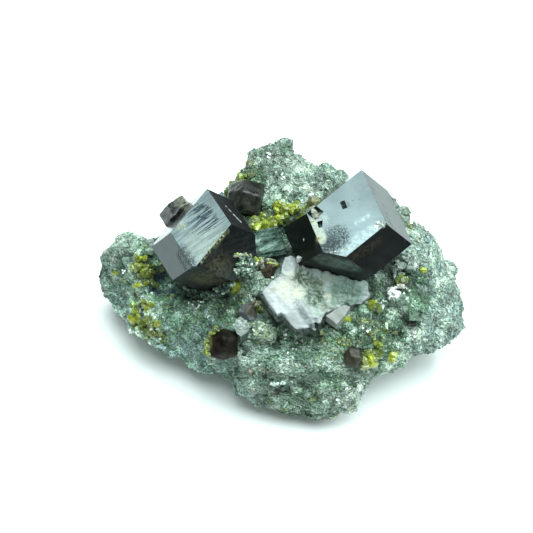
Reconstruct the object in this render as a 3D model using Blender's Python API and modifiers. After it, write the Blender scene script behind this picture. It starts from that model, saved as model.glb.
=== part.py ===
"""Andradite garnets on an epidote skarn matrix.

Two large near-black rhombic dodecahedra and several small brown ones sit on a lump of green rock, with
a mass of cleaved white calcite, a striated prism, clear grains and yellow-green epidote between them.
Lengths are in millimetres and are turned to metres where a mesh is finished. +Z is up, the rock rests
on z = 0 and the middle of its box is on the origin. Nothing moves.
"""

import itertools
import math
import random
from dataclasses import dataclass, field

import bmesh
import bpy
from mathutils import Euler, Matrix, Vector, noise
from mathutils.geometry import delaunay_2d_cdt

# ---------------------------------------------------------------- driving dimensions (mm)
MM = 0.001
GAP = 0.3               # clearance round a seated piece
TOLERANCE = 1e-4        # below this two points are one

FOOT_DEPTH = 1.5        # how far the raw lump reaches below its flat foot
VOXEL = 0.55            # cell of the rock's first remesh
ROCK_TRIANGLES = 5000
SWELL = 0.10            # makes up for what smoothing takes off the edge
LUMP_HEIGHT = 0.70      # rough lumps of the broken rock
LUMP_LENGTH = 3.4
NODULE_HEIGHT = 0.80    # rounded nodules with creases between them
NODULE_LENGTH = 1.9
FOLIATION_HEIGHT = 0.42  # ridges along the rock's layering
FOLIATION_LENGTH = 1.5
FOLIATION_STRETCH = 4.5
FOLIATION_ANGLE = -35.0
NODULE_MIDDLE = 0.45    # distance to a nodule's middle at which the surface is unmoved
PLAIN_CENTRE = (-12.0, -8.5, 8.5)  # the smoother patch at the front left
PLAIN_RADIUS = 5.0
PLAIN_SHARE = 0.35      # roughness left there
FEATURE_GAIN = 1.5      # bumps and dents come out flatter than they are named, because points are few

# Edge of the lump seen from above and in front, clockwise from its left end.
RIM_LEFT = ((-25.5, 1.0, 4.5), (-25.5, 2.0, 6.0), (-25.0, 3.5, 8.0), (-24.0, 4.0, 11.0),
            (-22.5, 4.5, 13.0), (-21.0, 4.5, 14.0), (-19.5, 3.5, 14.0), (-18.0, 3.5, 12.5),
            (-16.0, 5.5, 11.5), (-13.0, 8.0, 12.5), (-9.5, 11.0, 13.0), (-7.2, 13.0, 13.8))
RIM_BACK = ((-5.4, 14.7, 15.3), (-3.5, 16.5, 16.0), (-1.5, 17.5, 17.0), (0.5, 18.0, 17.0),
            (2.0, 16.0, 17.0), (3.5, 14.5, 16.0), (6.0, 14.5, 16.5), (8.5, 13.0, 15.5),
            (11.5, 12.5, 15.0), (14.5, 10.5, 14.5), (17.0, 9.5, 13.5), (18.0, 7.0, 13.0))
RIM_RIGHT = ((21.0, 3.5, 11.5), (23.0, 1.5, 10.0), (24.0, -2.0, 9.0), (24.5, -6.0, 8.0),
             (23.0, -8.0, 7.5), (20.5, -9.5, 7.0), (16.5, -12.0, 7.0), (14.0, -13.0, 6.5),
             (11.5, -13.5, 5.5), (10.5, -15.0, 4.5), (9.5, -17.5, 3.5))
RIM_FRONT = ((6.5, -18.0, 3.0), (4.5, -18.5, 2.5), (1.0, -17.0, 2.5), (-3.5, -16.5, 3.0),
             (-6.0, -14.5, 3.5), (-7.5, -12.5, 4.0), (-12.0, -11.0, 4.0), (-16.0, -8.5, 4.0),
             (-19.5, -6.0, 4.0), (-22.0, -3.0, 4.5), (-24.0, -0.5, 4.5))
RIM = RIM_LEFT + RIM_BACK + RIM_RIGHT + RIM_FRONT

# Heights of the upper surface between the edges, region by region.
RELIEF = {
    "left lobe": ((-23.5, 2.5, 10.5), (-21.0, 1.5, 13.8), (-19.0, 1.0, 13.4), (-22.5, 0.5, 8.5),
                  (-20.0, -1.0, 12.0), (-17.8, -0.5, 11.6)),
    "hollow under the left garnet": ((-17.0, -1.0, 9.6), (-14.5, -3.0, 10.4), (-11.0, -4.0, 11.2),
                                     (-8.0, -3.5, 12.2)),
    "seat of the left garnet": ((-13.5, 2.5, 12.0), (-9.5, 4.5, 12.8), (-7.0, 8.0, 13.2)),
    "left slope": ((-21.0, -2.5, 7.5), (-18.5, -4.5, 9.6), (-20.0, -5.0, 6.2), (-17.5, -7.2, 6.8),
                   (-15.5, -6.0, 10.0)),
    "smooth plain": ((-12.5, -7.5, 9.8), (-14.0, -9.0, 6.5), (-10.5, -9.5, 8.6), (-9.5, -11.2, 7.5),
                     (-10.5, -6.0, 11.0), (-7.5, -9.5, 10.2), (-6.5, -11.5, 8.8)),
    "saddle": ((-6.0, -5.0, 11.8), (-4.5, -8.5, 11.2), (-3.0, -5.5, 11.8)),
    "centre bump": ((-5.0, -2.5, 14.6), (-6.5, -0.5, 14.6), (-3.0, -1.5, 15.0), (-1.0, -3.0, 14.8),
                    (-2.5, 2.5, 14.6), (0.0, 3.5, 14.2)),
    "ridge": ((-4.0, 4.5, 15.0), (-1.5, 6.0, 16.2), (2.0, 7.0, 16.4)),
    "back field": ((-5.0, 10.5, 14.8), (-3.0, 11.0, 16.4), (0.0, 11.5, 17.6), (0.0, 14.5, 18.2),
                   (3.5, 11.0, 17.0), (6.5, 11.0, 16.8), (2.0, 9.0, 16.4)),
    "seat of the calcite": ((1.0, -5.5, 13.6), (4.5, -5.5, 14.0), (8.5, -5.5, 14.2), (2.0, -8.5, 11.6),
                            (6.0, -8.0, 12.6)),
    "trough": ((-1.0, -10.5, 9.0), (3.0, -10.2, 9.2), (5.5, -11.0, 10.4)),
    "front lobe": ((-4.5, -13.8, 8.4), (-0.5, -14.0, 10.4), (3.5, -14.0, 10.6), (6.5, -14.0, 10.5),
                   (7.8, -16.0, 7.8), (4.0, -16.4, 8.0), (-0.5, -16.0, 7.2)),
    "right field": ((11.0, -7.0, 14.0), (14.5, -4.5, 14.0), (14.5, -1.0, 14.4), (18.0, -0.5, 13.0),
                    (18.5, 2.5, 13.0), (20.0, -2.0, 11.6), (16.0, -7.5, 12.6), (12.5, -9.5, 12.0),
                    (10.0, -11.5, 11.5), (15.0, -10.0, 10.6), (19.5, -6.5, 11.0), (21.5, -4.5, 10.2),
                    (19.5, -8.6, 8.8), (12.0, -12.2, 9.6), (15.0, -11.3, 9.2), (22.5, -6.8, 8.6)),
    "seat of the right garnet": ((9.0, 3.0, 14.0), (6.5, 6.0, 14.0), (13.5, 5.5, 13.8),
                                 (11.0, 9.0, 14.4)),
}

# Outline of the flat foot, well inside the edge because the lump overhangs on the right and at the back.
FOOT = ((-20.5, 2.5), (-18.5, -1.0), (-14.5, -4.4), (-10.0, -6.4), (-6.0, -8.6), (-3.2, -11.4),
        (0.5, -12.6), (4.6, -13.2), (7.2, -12.2), (8.2, -9.8), (10.4, -7.0), (13.4, -5.0), (15.2, -1.8),
        (14.6, 2.6), (12.0, 6.4), (7.6, 9.0), (2.4, 12.0), (-3.4, 11.4), (-8.6, 8.6), (-15.0, 5.4))
MIDDLE = (-1.0, -0.5)   # point that the sides are lofted around
# The sides: share of the edge's height, and how far in towards the foot.
SIDE_RINGS = ((0.62, 0.24), (0.28, 0.62))

# Pits, cracks and the shaded hollows: centre, radius, depth.
DENTS = (
    ("cavity left of the calcite", (-3.6, -5.6, 12.2), 1.3, 1.2),
    ("crack below the calcite", (4.3, -10.5, 10.4), 0.9, 1.2),
    ("foot of the ledge", (-3.9, -2.9, 14.6), 1.3, 0.7),
    ("hollow under the left garnet", (-11.2, -3.0, 11.2), 2.2, 0.8),
    ("hollow right of it", (-7.7, -3.9, 12.0), 1.4, 0.8),
    ("hollow left of it", (-15.6, -1.6, 10.2), 1.7, 0.8),
    ("shade of the right garnet", (13.0, -4.4, 14.0), 1.3, 0.9),
    ("nest of the clear grains", (16.0, -1.9, 14.2), 1.7, 0.7),
    ("crevice in the right field", (16.4, -9.2, 11.7), 1.0, 1.0),
    ("lower crevice", (14.6, -10.6, 10.6), 0.9, 0.8),
    ("right hollow", (18.3, -2.8, 12.6), 1.3, 0.6),
    ("trough, left end", (-1.2, -10.4, 9.3), 1.4, 0.7),
    ("trough, right end", (1.6, -10.8, 9.2), 1.5, 0.7),
    ("notch by the upper garnet", (-2.8, 9.6, 16.2), 1.2, 0.7),
    ("shade under the wedge", (7.3, -10.6, 12.0), 1.1, 0.9),
    ("pit by the single epidote", (11.2, -6.9, 13.8), 0.9, 0.8),
    ("pit in the front lobe", (-0.9, -15.4, 8.6), 1.1, 0.6),
    ("back pit", (1.9, 7.6, 16.2), 0.9, 0.8),
    ("left pit", (-17.6, -2.6, 10.8), 1.1, 0.6),
)
# Raised lumps: centre, radius, height.
BUMPS = (
    ("left lobe crest", (-21.3, 1.9, 13.6), 2.2, 0.6),
    ("left lobe flank", (-22.9, 1.0, 10.8), 1.6, 0.5),
    ("centre", (-5.4, -2.9, 14.6), 1.2, 0.5),
    ("front lobe left", (-2.9, -13.6, 9.6), 1.9, 0.5),
    ("front lobe middle", (2.7, -15.4, 9.6), 2.2, 0.6),
    ("front knee", (7.4, -16.2, 8.0), 1.5, 0.5),
    ("right shoulder", (19.9, 0.4, 12.6), 2.4, 0.5),
    ("right tail", (21.5, -6.8, 9.6), 2.0, 0.5),
    ("layered lump", (14.4, -9.4, 11.8), 1.6, 0.6),
    ("layered lump above", (16.4, -7.6, 12.8), 1.7, 0.5),
    ("back field", (5.2, 10.6, 17.0), 2.2, 0.5),
    ("back crest", (0.0, 14.8, 18.0), 1.8, 0.4),
    ("ridge", (4.2, 8.4, 16.6), 1.3, 0.5),
)


# ---------------------------------------------------------------- small helpers
def scene_reset():
    """Empties the scene and drops unused meshes."""
    for item in list(bpy.data.objects):
        bpy.data.objects.remove(item, do_unlink=True)
    for mesh in list(bpy.data.meshes):
        bpy.data.meshes.remove(mesh)


def make_collection(name):
    """A collection linked to the scene."""
    group = bpy.data.collections.new(name)
    bpy.context.scene.collection.children.link(group)
    return group


def make_material(name, colour, roughness, metallic=0.0):
    """A plain Principled material."""
    material = bpy.data.materials.new(name)
    material.use_nodes = True
    shader = material.node_tree.nodes["Principled BSDF"]
    shader.inputs["Base Color"].default_value = (*colour, 1.0)
    shader.inputs["Roughness"].default_value = roughness
    shader.inputs["Metallic"].default_value = metallic
    material.diffuse_color = (*colour, 1.0)
    return material


def to_object(name, bm, group, material=None):
    """Turns a bmesh in millimetres into an object in metres."""
    bmesh.ops.recalc_face_normals(bm, faces=bm.faces[:])
    bmesh.ops.scale(bm, vec=(MM, MM, MM), verts=bm.verts[:])
    mesh = bpy.data.meshes.new(name)
    bm.to_mesh(mesh)
    bm.free()
    item = bpy.data.objects.new(name, mesh)
    group.objects.link(item)
    if material:
        mesh.materials.append(material)
    return item


def bake(item):
    """Replaces an object's mesh by what its modifiers make of it."""
    bpy.context.view_layer.update()
    graph = bpy.context.evaluated_depsgraph_get()
    made = bpy.data.meshes.new_from_object(item.evaluated_get(graph))
    item.modifiers.clear()
    old = item.data
    item.data = made
    bpy.data.meshes.remove(old)


def boolean(item, tool, operation):
    """Joins a tool to an object or cuts it away, and bakes the result."""
    change = item.modifiers.new(operation.title(), "BOOLEAN")
    change.operation = operation
    change.solver = "EXACT"
    change.object = tool
    bake(item)


def keep_main_body(item):
    """Deletes crumbs that a cut has parted from the main body."""
    bm = bmesh.new()
    bm.from_mesh(item.data)
    left = set(bm.verts)
    bodies = []
    while left:
        body = set()
        queue = [left.pop()]
        while queue:
            vert = queue.pop()
            body.add(vert)
            for edge in vert.link_edges:
                other = edge.other_vert(vert)
                if other in left:
                    left.remove(other)
                    queue.append(other)
        bodies.append(body)
    bodies.sort(key=len, reverse=True)
    crumbs = [vert for body in bodies[1:] for vert in body]
    bmesh.ops.delete(bm, geom=crumbs, context="VERTS")
    bm.to_mesh(item.data)
    bm.free()


def tidy(item, weld=0.004):
    """Welds slivers shorter than weld (mm), makes triangles and keeps the mesh closed."""
    bm = bmesh.new()
    bm.from_mesh(item.data)
    bmesh.ops.remove_doubles(bm, verts=bm.verts[:], dist=weld * MM)
    bmesh.ops.dissolve_degenerate(bm, dist=weld * MM * 0.5, edges=bm.edges[:])
    bmesh.ops.triangulate(bm, faces=bm.faces[:])
    bm.to_mesh(item.data)
    bm.free()


def fill_open_edges(bm):
    """Closes every hole of a bmesh."""
    edges = [edge for edge in bm.edges if edge.is_boundary]
    if edges:
        bmesh.ops.holes_fill(bm, edges=edges)


def cut_to_planes(bm, planes, centre):
    """Keeps the part of a closed bmesh inside every plane of (normal, distance from centre)."""
    for normal, distance in planes:
        bmesh.ops.bisect_plane(bm, geom=bm.verts[:] + bm.edges[:] + bm.faces[:], dist=TOLERANCE,
                               plane_co=centre + normal * distance, plane_no=normal,
                               clear_outer=True)
        fill_open_edges(bm)


# ---------------------------------------------------------------- crystal forms
@dataclass(frozen=True)
class Garnet:
    """A rhombic dodecahedron: face distances by crystal face, the rest at the common distance."""
    name: str
    centre: tuple
    turn: tuple
    distance: float
    faces: dict = field(default_factory=dict)

    def form(self, grow=0.0):
        """Cuts a cube by the twelve faces, each moved out by grow."""
        bm = bmesh.new()
        bmesh.ops.create_cube(bm, size=self.distance * 8)
        centre = Vector(self.centre)
        bmesh.ops.translate(bm, vec=centre, verts=bm.verts[:])
        axes = Euler([math.radians(angle) for angle in self.turn], "XYZ").to_matrix()
        planes = []
        for first, second in itertools.combinations(range(3), 2):
            for one, two in itertools.product((1, -1), repeat=2):
                index = [0, 0, 0]
                index[first] = one
                index[second] = two
                away = self.faces.get(tuple(index), self.distance)
                planes.append((axes @ Vector(index).normalized(), away + grow))
        cut_to_planes(bm, planes, centre)
        return bm


@dataclass(frozen=True)
class Block:
    """A cleaved block: a box sheared along its length, turned and placed."""
    centre: tuple
    size: tuple
    turn: tuple
    shear: float = 0.25

    def add(self, bm, grow=0.0):
        """Adds the block to a bmesh."""
        made = bmesh.ops.create_cube(bm, size=1.0)["verts"]
        skew = Matrix.Identity(4)
        skew[0][1] = self.shear
        turn = Euler([math.radians(angle) for angle in self.turn], "XYZ").to_matrix().to_4x4()
        scale = Matrix.Diagonal([side + 2 * grow for side in self.size]).to_4x4()
        bmesh.ops.transform(bm, matrix=Matrix.Translation(self.centre) @ turn @ scale @ skew,
                            verts=made)


@dataclass(frozen=True)
class Plate:
    """A cleavage plate: an outline in plan, a sloping top and a thickness."""
    outline: tuple
    top: float
    slope: tuple
    thickness: float

    def add(self, bm, grow=0.0):
        """Adds the plate to a bmesh: the outline's face pulled down by the thickness."""
        count = len(self.outline)
        middle = sum((Vector(spot) for spot in self.outline), Vector((0, 0))) / count
        verts = []
        for spot in self.outline:
            arm = Vector(spot) - middle
            arm += arm.normalized() * grow
            height = self.top + arm.x * self.slope[0] + arm.y * self.slope[1] + grow
            verts.append(bm.verts.new((middle.x + arm.x, middle.y + arm.y, height)))
        face = bm.faces.new(verts)
        pulled = bmesh.ops.extrude_face_region(bm, geom=[face])
        lower = [part for part in pulled["geom"] if isinstance(part, bmesh.types.BMVert)]
        drop = Vector((0, 0, -self.thickness - 2 * grow))
        bmesh.ops.translate(bm, vec=drop, verts=lower)


@dataclass(frozen=True)
class Grain:
    """A short pointed prism, such as an epidote or quartz grain lying on the rock."""
    centre: tuple
    length: float
    width: float
    turn: tuple
    sides: int = 5

    def add(self, bm, grow=0.0):
        """Adds a prism whose ends are cut to blunt points."""
        half = self.length / 2 + grow
        radius = self.width / 2 + grow
        rings = ((-half, 0.5), (-half * 0.15, 1.0), (half, 0.45))
        turn = Euler([math.radians(angle) for angle in self.turn], "XYZ").to_matrix()
        loops = []
        for along, share in rings:
            loop = []
            for step in range(self.sides):
                angle = math.tau * step / self.sides
                spot = Vector((along, math.cos(angle) * radius * share,
                               math.sin(angle) * radius * share))
                loop.append(bm.verts.new(Vector(self.centre) + turn @ spot))
            loops.append(loop)
        for low, high in zip(loops, loops[1:]):
            for step in range(self.sides):
                after = (step + 1) % self.sides
                bm.faces.new((low[step], low[after], high[after], high[step]))
        bm.faces.new(tuple(reversed(loops[0])))
        bm.faces.new(tuple(loops[-1]))


@dataclass(frozen=True)
class Cluster:
    """Solids of one kind that have grown together."""
    name: str
    members: tuple

    def form(self, grow=0.0):
        """The union of the members, each grown by grow."""
        workshop = bpy.data.collections["cutters"]
        whole = None
        for member in self.members:
            bm = bmesh.new()
            member.add(bm, grow)
            part = to_object(self.name + "_member", bm, workshop)
            if whole is None:
                whole = part
                continue
            boolean(whole, part, "UNION")
            bpy.data.objects.remove(part, do_unlink=True)
        bm = bmesh.new()
        bm.from_mesh(whole.data)
        bmesh.ops.scale(bm, vec=(1 / MM, 1 / MM, 1 / MM), verts=bm.verts[:])
        bpy.data.objects.remove(whole, do_unlink=True)
        return bm


# ---------------------------------------------------------------- the pieces
GARNET_LEFT = Garnet("garnet_left", (-9.9, -0.6, 18.0), (8.1, -30.1, -99.6), 5.4,
                     {(0, 1, 1): 5.7, (1, 1, 0): 5.2, (0, -1, 1): 5.1, (1, -1, 0): 5.8,
                      (0, -1, -1): 5.5, (1, 0, -1): 5.3, (-1, 1, 0): 3.9})
GARNET_RIGHT = Garnet("garnet_right", (8.5, 0.5, 19.0), (5.4, -33.7, -109.6), 6.0,
                      {(1, 0, 1): 5.2, (0, 1, 1): 6.2, (1, 1, 0): 6.6, (0, -1, 1): 5.6,
                       (0, 1, -1): 5.8, (1, 0, -1): 5.9, (1, -1, 0): 6.6, (-1, 1, 0): 5.6,
                       (-1, 0, 1): 6.6, (0, -1, -1): 6.8})
GARNETS_SMALL = (
    Garnet("garnet_satellite", (-13.9, 4.9, 16.5), (35, -6, -11), 2.05),
    Garnet("garnet_upper", (-5.1, 8.3, 16.0), (10, -17, 35), 2.3),
    Garnet("garnet_lower", (-7.9, -11.5, 10.6), (7, 5, -41), 1.85),
    Garnet("garnet_low_right", (9.0, -13.4, 10.4), (-8, -37, -37), 1.2),
    Garnet("garnet_front", (-4.9, -7.3, 12.0), (5, 25, 20), 1.05, {(1, 1, 0): 1.5, (1, -1, 0): 1.5}),
    Garnet("garnet_patch", (-2.2, -2.0, 14.3), (15, 5, 20), 1.2),
)

CALCITE_MASS = Cluster("calcite_mass", (
    Plate(((-2.9, -6.2), (-1.8, -4.9), (-0.4, -3.8), (1.9, -3.8), (2.8, -4.9), (3.6, -5.8), (3.1, -7.2),
           (2.0, -8.0), (1.5, -8.6), (-0.6, -9.1), (-0.9, -9.3), (-2.1, -7.7)), 15.1, (0.02, 0.25), 2.2),
    Plate(((-0.2, -7.9), (-0.7, -8.7), (0.7, -10.1), (1.5, -10.8), (2.3, -10.7), (3.2, -10.7),
           (2.4, -9.4), (1.7, -8.0)), 13.7, (0.04, 0.32), 1.9),
    Plate(((1.9, -7.2), (1.5, -8.2), (2.4, -9.4), (3.6, -10.8), (4.2, -10.9), (3.7, -9.6), (2.9, -7.8)),
          13.9, (-0.05, 0.34), 1.8),
    Plate(((-0.4, -3.9), (-0.3, -2.7), (0.1, -1.7), (0.9, -1.4), (1.6, -1.9), (1.8, -2.8), (2.5, -3.3),
           (2.2, -4.4), (0.8, -4.8)), 16.5, (0.05, 0.36), 2.6),
    Plate(((2.1, -4.4), (2.5, -3.4), (4.4, -3.4), (6.0, -3.4), (7.9, -4.0), (9.6, -4.9), (9.0, -6.4),
           (7.0, -6.6), (4.8, -6.4), (3.4, -6.2)), 15.9, (-0.04, 0.30), 2.2),
    Plate(((8.4, -4.6), (9.6, -4.9), (11.0, -5.3), (11.1, -6.4), (10.1, -7.5), (8.5, -7.9), (7.4, -6.9)),
          15.0, (-0.05, 0.35), 1.9),
    Plate(((3.0, -5.8), (5.0, -6.0), (7.6, -6.4), (8.2, -7.6), (6.6, -8.3), (5.4, -8.9), (4.6, -10.1),
           (3.5, -9.6), (2.8, -7.6)), 14.5, (0.03, 0.42), 2.4),
))
CALCITE_WEDGE = Cluster("calcite_wedge", (
    Plate(((5.3, -9.2), (6.1, -8.5), (7.4, -7.9), (8.6, -8.2), (7.9, -9.2), (6.8, -10.3)), 14.2,
          (0.04, 0.44), 1.3),
))
CALCITE_SLIVER = Cluster("calcite_sliver", (
    Plate(((1.9, -1.9), (2.3, -1.4), (2.8, -1.8), (3.0, -2.8), (2.4, -3.0)), 17.2, (0.1, 0.3), 2.2),
))
CALCITE_CHIP = Cluster("calcite_chip", (
    Plate(((-5.7, -8.7), (-4.9, -9.2), (-4.5, -9.8), (-4.7, -10.5), (-6.0, -11.2), (-6.5, -10.0),
           (-6.3, -9.1)), 12.4, (-0.10, 0.55), 1.6),
))
CALCITE_LUMP = Cluster("calcite_lump", (
    Plate(((-4.1, -9.1), (-2.9, -8.9), (-2.2, -9.6), (-2.9, -10.8), (-4.1, -10.4)), 11.5, (0.1, 0.5), 1.5),
    Plate(((-3.0, -8.9), (-1.4, -9.2), (-1.1, -10.1), (-1.8, -10.7), (-2.8, -10.6)), 11.1, (-0.2, 0.4),
          1.5),
))
PRISM_MIDDLE = (-2.1, 1.0, 15.9)
PRISM_RIBS = 6
PRISM_PITCH = 0.66
PRISM_TURN = 14.0


def prism_ribs():
    """Ribs side by side along the prism, each a square bar standing on its edge."""
    across = Matrix.Rotation(math.radians(PRISM_TURN), 3, "Z") @ Vector((0, PRISM_PITCH, 0.14))
    ribs = []
    for rib in range(PRISM_RIBS):
        place = Vector(PRISM_MIDDLE) + across * (rib - (PRISM_RIBS - 1) / 2)
        length = 4.1 - 0.25 * (rib % 3)
        ribs.append(Block(tuple(place), (length, 0.62, 0.62), (45, 0, PRISM_TURN), 0.0))
    return tuple(ribs)


PRISM = Cluster("striated_prism", (Block((-2.1, 1.0, 15.2), (4.0, 3.6, 1.7), (-6, 0, PRISM_TURN), 0.05),
                                   *prism_ribs()))
QUARTZ = Cluster("quartz_cluster", (
    Grain((15.4, -1.9, 14.6), 2.2, 1.5, (20, 35, 40)),
    Grain((16.6, -2.0, 14.2), 1.7, 1.2, (0, -30, -30)),
    Grain((14.5, -2.4, 14.3), 1.5, 1.1, (0, 50, 90)),
    Grain((17.4, -1.2, 14.0), 1.6, 1.2, (10, 10, 60)),
    Grain((16.4, -0.6, 14.4), 1.6, 1.3, (30, 10, 20)),
))
WHITE_GRAINS = Cluster("white_grains", (
    Plate(((13.5, -6.4), (13.7, -5.5), (14.3, -6.0), (15.3, -6.5), (15.2, -7.4), (13.9, -7.4)), 14.8,
          (-0.05, 0.25), 1.4),
    Grain((14.9, -6.7, 14.0), 1.6, 1.3, (0, -20, 10)),
    Grain((15.4, -5.4, 14.1), 1.7, 1.3, (0, 30, 70)),
))


def epidote_row(name, start, end, count, width, wave=0.3):
    """Overlapping stubby grains that zigzag from start to end."""
    begin = Vector(start)
    run = Vector(end) - begin
    heading = math.degrees(math.atan2(run.y, run.x))
    pick = random.Random(name)
    length = run.length / count * 1.7 + width * 0.5
    grains = []
    for step in range(count):
        share = (step + 0.5) / count
        side = Vector((0, (step % 2 - 0.5) * 2 * wave, pick.uniform(-0.2, 0.2)))
        grains.append(Grain(tuple(begin + run * share + side), length, width * pick.uniform(0.85, 1.15),
                            (pick.uniform(0, 60), pick.uniform(-30, 30), heading + pick.uniform(-40, 40))))
    return Cluster(name, tuple(grains))


EPIDOTES = (
    epidote_row("epidote_band", (-4.4, 3.6, 15.8), (0.0, 4.5, 16.2), 6, 1.35, 0.4),
    epidote_row("epidote_back", (-7.3, 10.5, 14.5), (-5.4, 12.0, 15.6), 4, 1.15),
    epidote_row("epidote_pair", (-0.9, 5.8, 16.6), (1.7, 5.9, 16.8), 4, 1.15, 0.2),
    epidote_row("epidote_olive", (2.7, 5.2, 16.4), (4.6, 7.0, 17.2), 3, 1.3, 0.2),
    epidote_row("epidote_ledge", (-6.3, -0.4, 15.2), (-3.0, -1.2, 15.5), 6, 0.75, 0.12),
    epidote_row("epidote_bead", (-7.1, -4.1, 13.6), (-6.3, -4.4, 13.6), 2, 1.2, 0.2),
    epidote_row("epidote_left", (-19.8, -0.2, 12.8), (-17.3, -2.0, 11.0), 5, 1.1, 0.35),
    epidote_row("epidote_lower_left", (-20.4, -4.6, 6.6), (-17.0, -7.4, 6.8), 6, 1.25, 0.35),
    epidote_row("epidote_low_right", (10.2, -13.3, 9.7), (12.2, -12.8, 9.6), 4, 1.5, 0.45),
    epidote_row("epidote_low_edge", (14.2, -12.5, 9.0), (14.6, -12.0, 9.2), 2, 1.1, 0.2),
    epidote_row("epidote_right", (15.3, -3.6, 14.3), (15.9, -3.8, 14.3), 1, 1.2),
    epidote_row("epidote_single", (11.5, -7.6, 14.0), (12.1, -7.9, 14.0), 1, 1.2),
)

PIECES = (GARNET_LEFT, GARNET_RIGHT, *GARNETS_SMALL, CALCITE_MASS, CALCITE_WEDGE, CALCITE_SLIVER,
          CALCITE_CHIP, CALCITE_LUMP, PRISM, QUARTZ, WHITE_GRAINS, *EPIDOTES)
FINISHES = {
    "garnet_dark": ((0.012, 0.013, 0.013), 0.12),
    "garnet_brown": ((0.060, 0.025, 0.012), 0.28),
    "calcite": ((0.80, 0.84, 0.82), 0.35),
    "prism": ((0.10, 0.26, 0.22), 0.35),
    "quartz": ((0.62, 0.66, 0.64), 0.15),
    "epidote": ((0.42, 0.44, 0.04), 0.35),
    "rock": ((0.16, 0.27, 0.21), 0.80),
}


# Damage on the large crystals: a pit, the bitten edge and a chipped corner; a broken lower corner.
CHIPS = {
    "garnet_right": (Block((7.6, 0.9, 24.4), (0.55, 1.1, 1.0), (20, 15, 25), 0.2),
                     Block((3.9, 0.2, 23.7), (1.3, 1.5, 1.3), (25, 20, 60), 0.3),
                     Block((4.5, -1.6, 23.7), (0.8, 0.9, 0.8), (10, 30, 20), 0.3),
                     Block((13.0, -2.1, 24.7), (0.7, 0.7, 0.6), (30, 30, 10), 0.0)),
    "garnet_left": (Block((-12.5, -7.5, 22.0), (1.8, 0.7, 0.9), (25, 10, 12), 0.2),
                    Block((-11.2, -7.3, 22.1), (0.9, 0.6, 0.7), (40, 0, -20), 0.2)),
}


def finish_of(name):
    """The finish that a piece has, from its name."""
    if name in ("garnet_left", "garnet_right"):
        return "garnet_dark"
    kinds = {"garnet": "garnet_brown", "calcite": "calcite", "striated": "prism", "quartz": "quartz",
             "white": "calcite", "epidote": "epidote"}
    return kinds[name.split("_")[0]]


# ---------------------------------------------------------------- the rock
def foot_point(spot):
    """Where the line from the middle through an edge point leaves the foot's outline."""
    middle = Vector(MIDDLE)
    heading = (Vector(spot[:2]) - middle).normalized()
    for start, end in zip(FOOT, FOOT[1:] + FOOT[:1]):
        first = Vector(start) - middle
        side = Vector(end) - Vector(start)
        spread = heading.x * side.y - heading.y * side.x
        if abs(spread) < 1e-9:
            continue
        away = (first.x * side.y - first.y * side.x) / spread
        along = (first.x * heading.y - first.y * heading.x) / spread
        if away > 0 and 0 <= along <= 1:
            return middle + heading * away
    return middle + heading


def rock_cage():
    """The closed cage: relief on top, then the sides lofted from the edge to the foot."""
    bm = bmesh.new()
    spots = [Vector(spot) for spot in RIM]
    spots += [Vector(spot) for region in RELIEF.values() for spot in region]
    flat = [spot.to_2d() for spot in spots]
    outline = [list(range(len(RIM)))]
    made, _, faces, origins, _, _ = delaunay_2d_cdt(flat, [], outline, 1, TOLERANCE)
    verts = []
    for place, source in zip(made, origins):
        verts.append(bm.verts.new((place.x, place.y, spots[source[0]].z)))
    for face in faces:
        bm.faces.new([verts[index] for index in face])
    ring = [verts[next(i for i, source in enumerate(origins) if index in source)]
            for index in range(len(RIM))]
    for height, inward in (*SIDE_RINGS, (None, 1.0)):
        lower = []
        for spot in RIM:
            foot = foot_point(spot)
            place = Vector(spot[:2]).lerp(foot, inward)
            level = -FOOT_DEPTH if height is None else spot[2] * height
            lower.append(bm.verts.new((place.x, place.y, level)))
        for index in range(len(RIM)):
            after = (index + 1) % len(RIM)
            bm.faces.new((ring[index], ring[after], lower[after], lower[index]))
        ring = lower
    bm.faces.new(ring)
    bmesh.ops.triangulate(bm, faces=bm.faces[:])
    return bm


def rough(place):
    """Height of the broken surface at a place (mm): lumps, nodules and layering."""
    lumps = noise.fractal(place / LUMP_LENGTH, 0.8, 2.1, 3) * LUMP_HEIGHT
    nearest = noise.voronoi(place / NODULE_LENGTH)[0][0]
    nodules = (NODULE_MIDDLE - nearest) * NODULE_HEIGHT
    layered = Matrix.Rotation(math.radians(FOLIATION_ANGLE), 3, "Z") @ place
    layered.x /= FOLIATION_STRETCH
    layers = noise.noise(layered / FOLIATION_LENGTH) * FOLIATION_HEIGHT
    plain = min(1.0, (place - Vector(PLAIN_CENTRE)).length / PLAIN_RADIUS)
    share = PLAIN_SHARE + (1.0 - PLAIN_SHARE) * plain ** 2
    return (lumps + nodules + layers) * share + SWELL


def feature(place):
    """Height added by the named bumps and taken by the named dents at a place (mm)."""
    height = 0.0
    for sign, features in ((1.0, BUMPS), (-1.0, DENTS)):
        for _, centre, radius, size in features:
            away = (place - Vector(centre)).length / radius
            if away < 1.0:
                height += sign * size * FEATURE_GAIN * (1.0 - away ** 2) ** 2
    return height


def roughen(item):
    """Moves each point of the rock along its normal by the broken surface's height."""
    mesh = item.data
    moved = []
    for vert in mesh.vertices:
        place = vert.co / MM
        moved.append(vert.co + vert.normal * (rough(place) + feature(place)) * MM)
    for vert, place in zip(mesh.vertices, moved):
        vert.co = place


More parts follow.
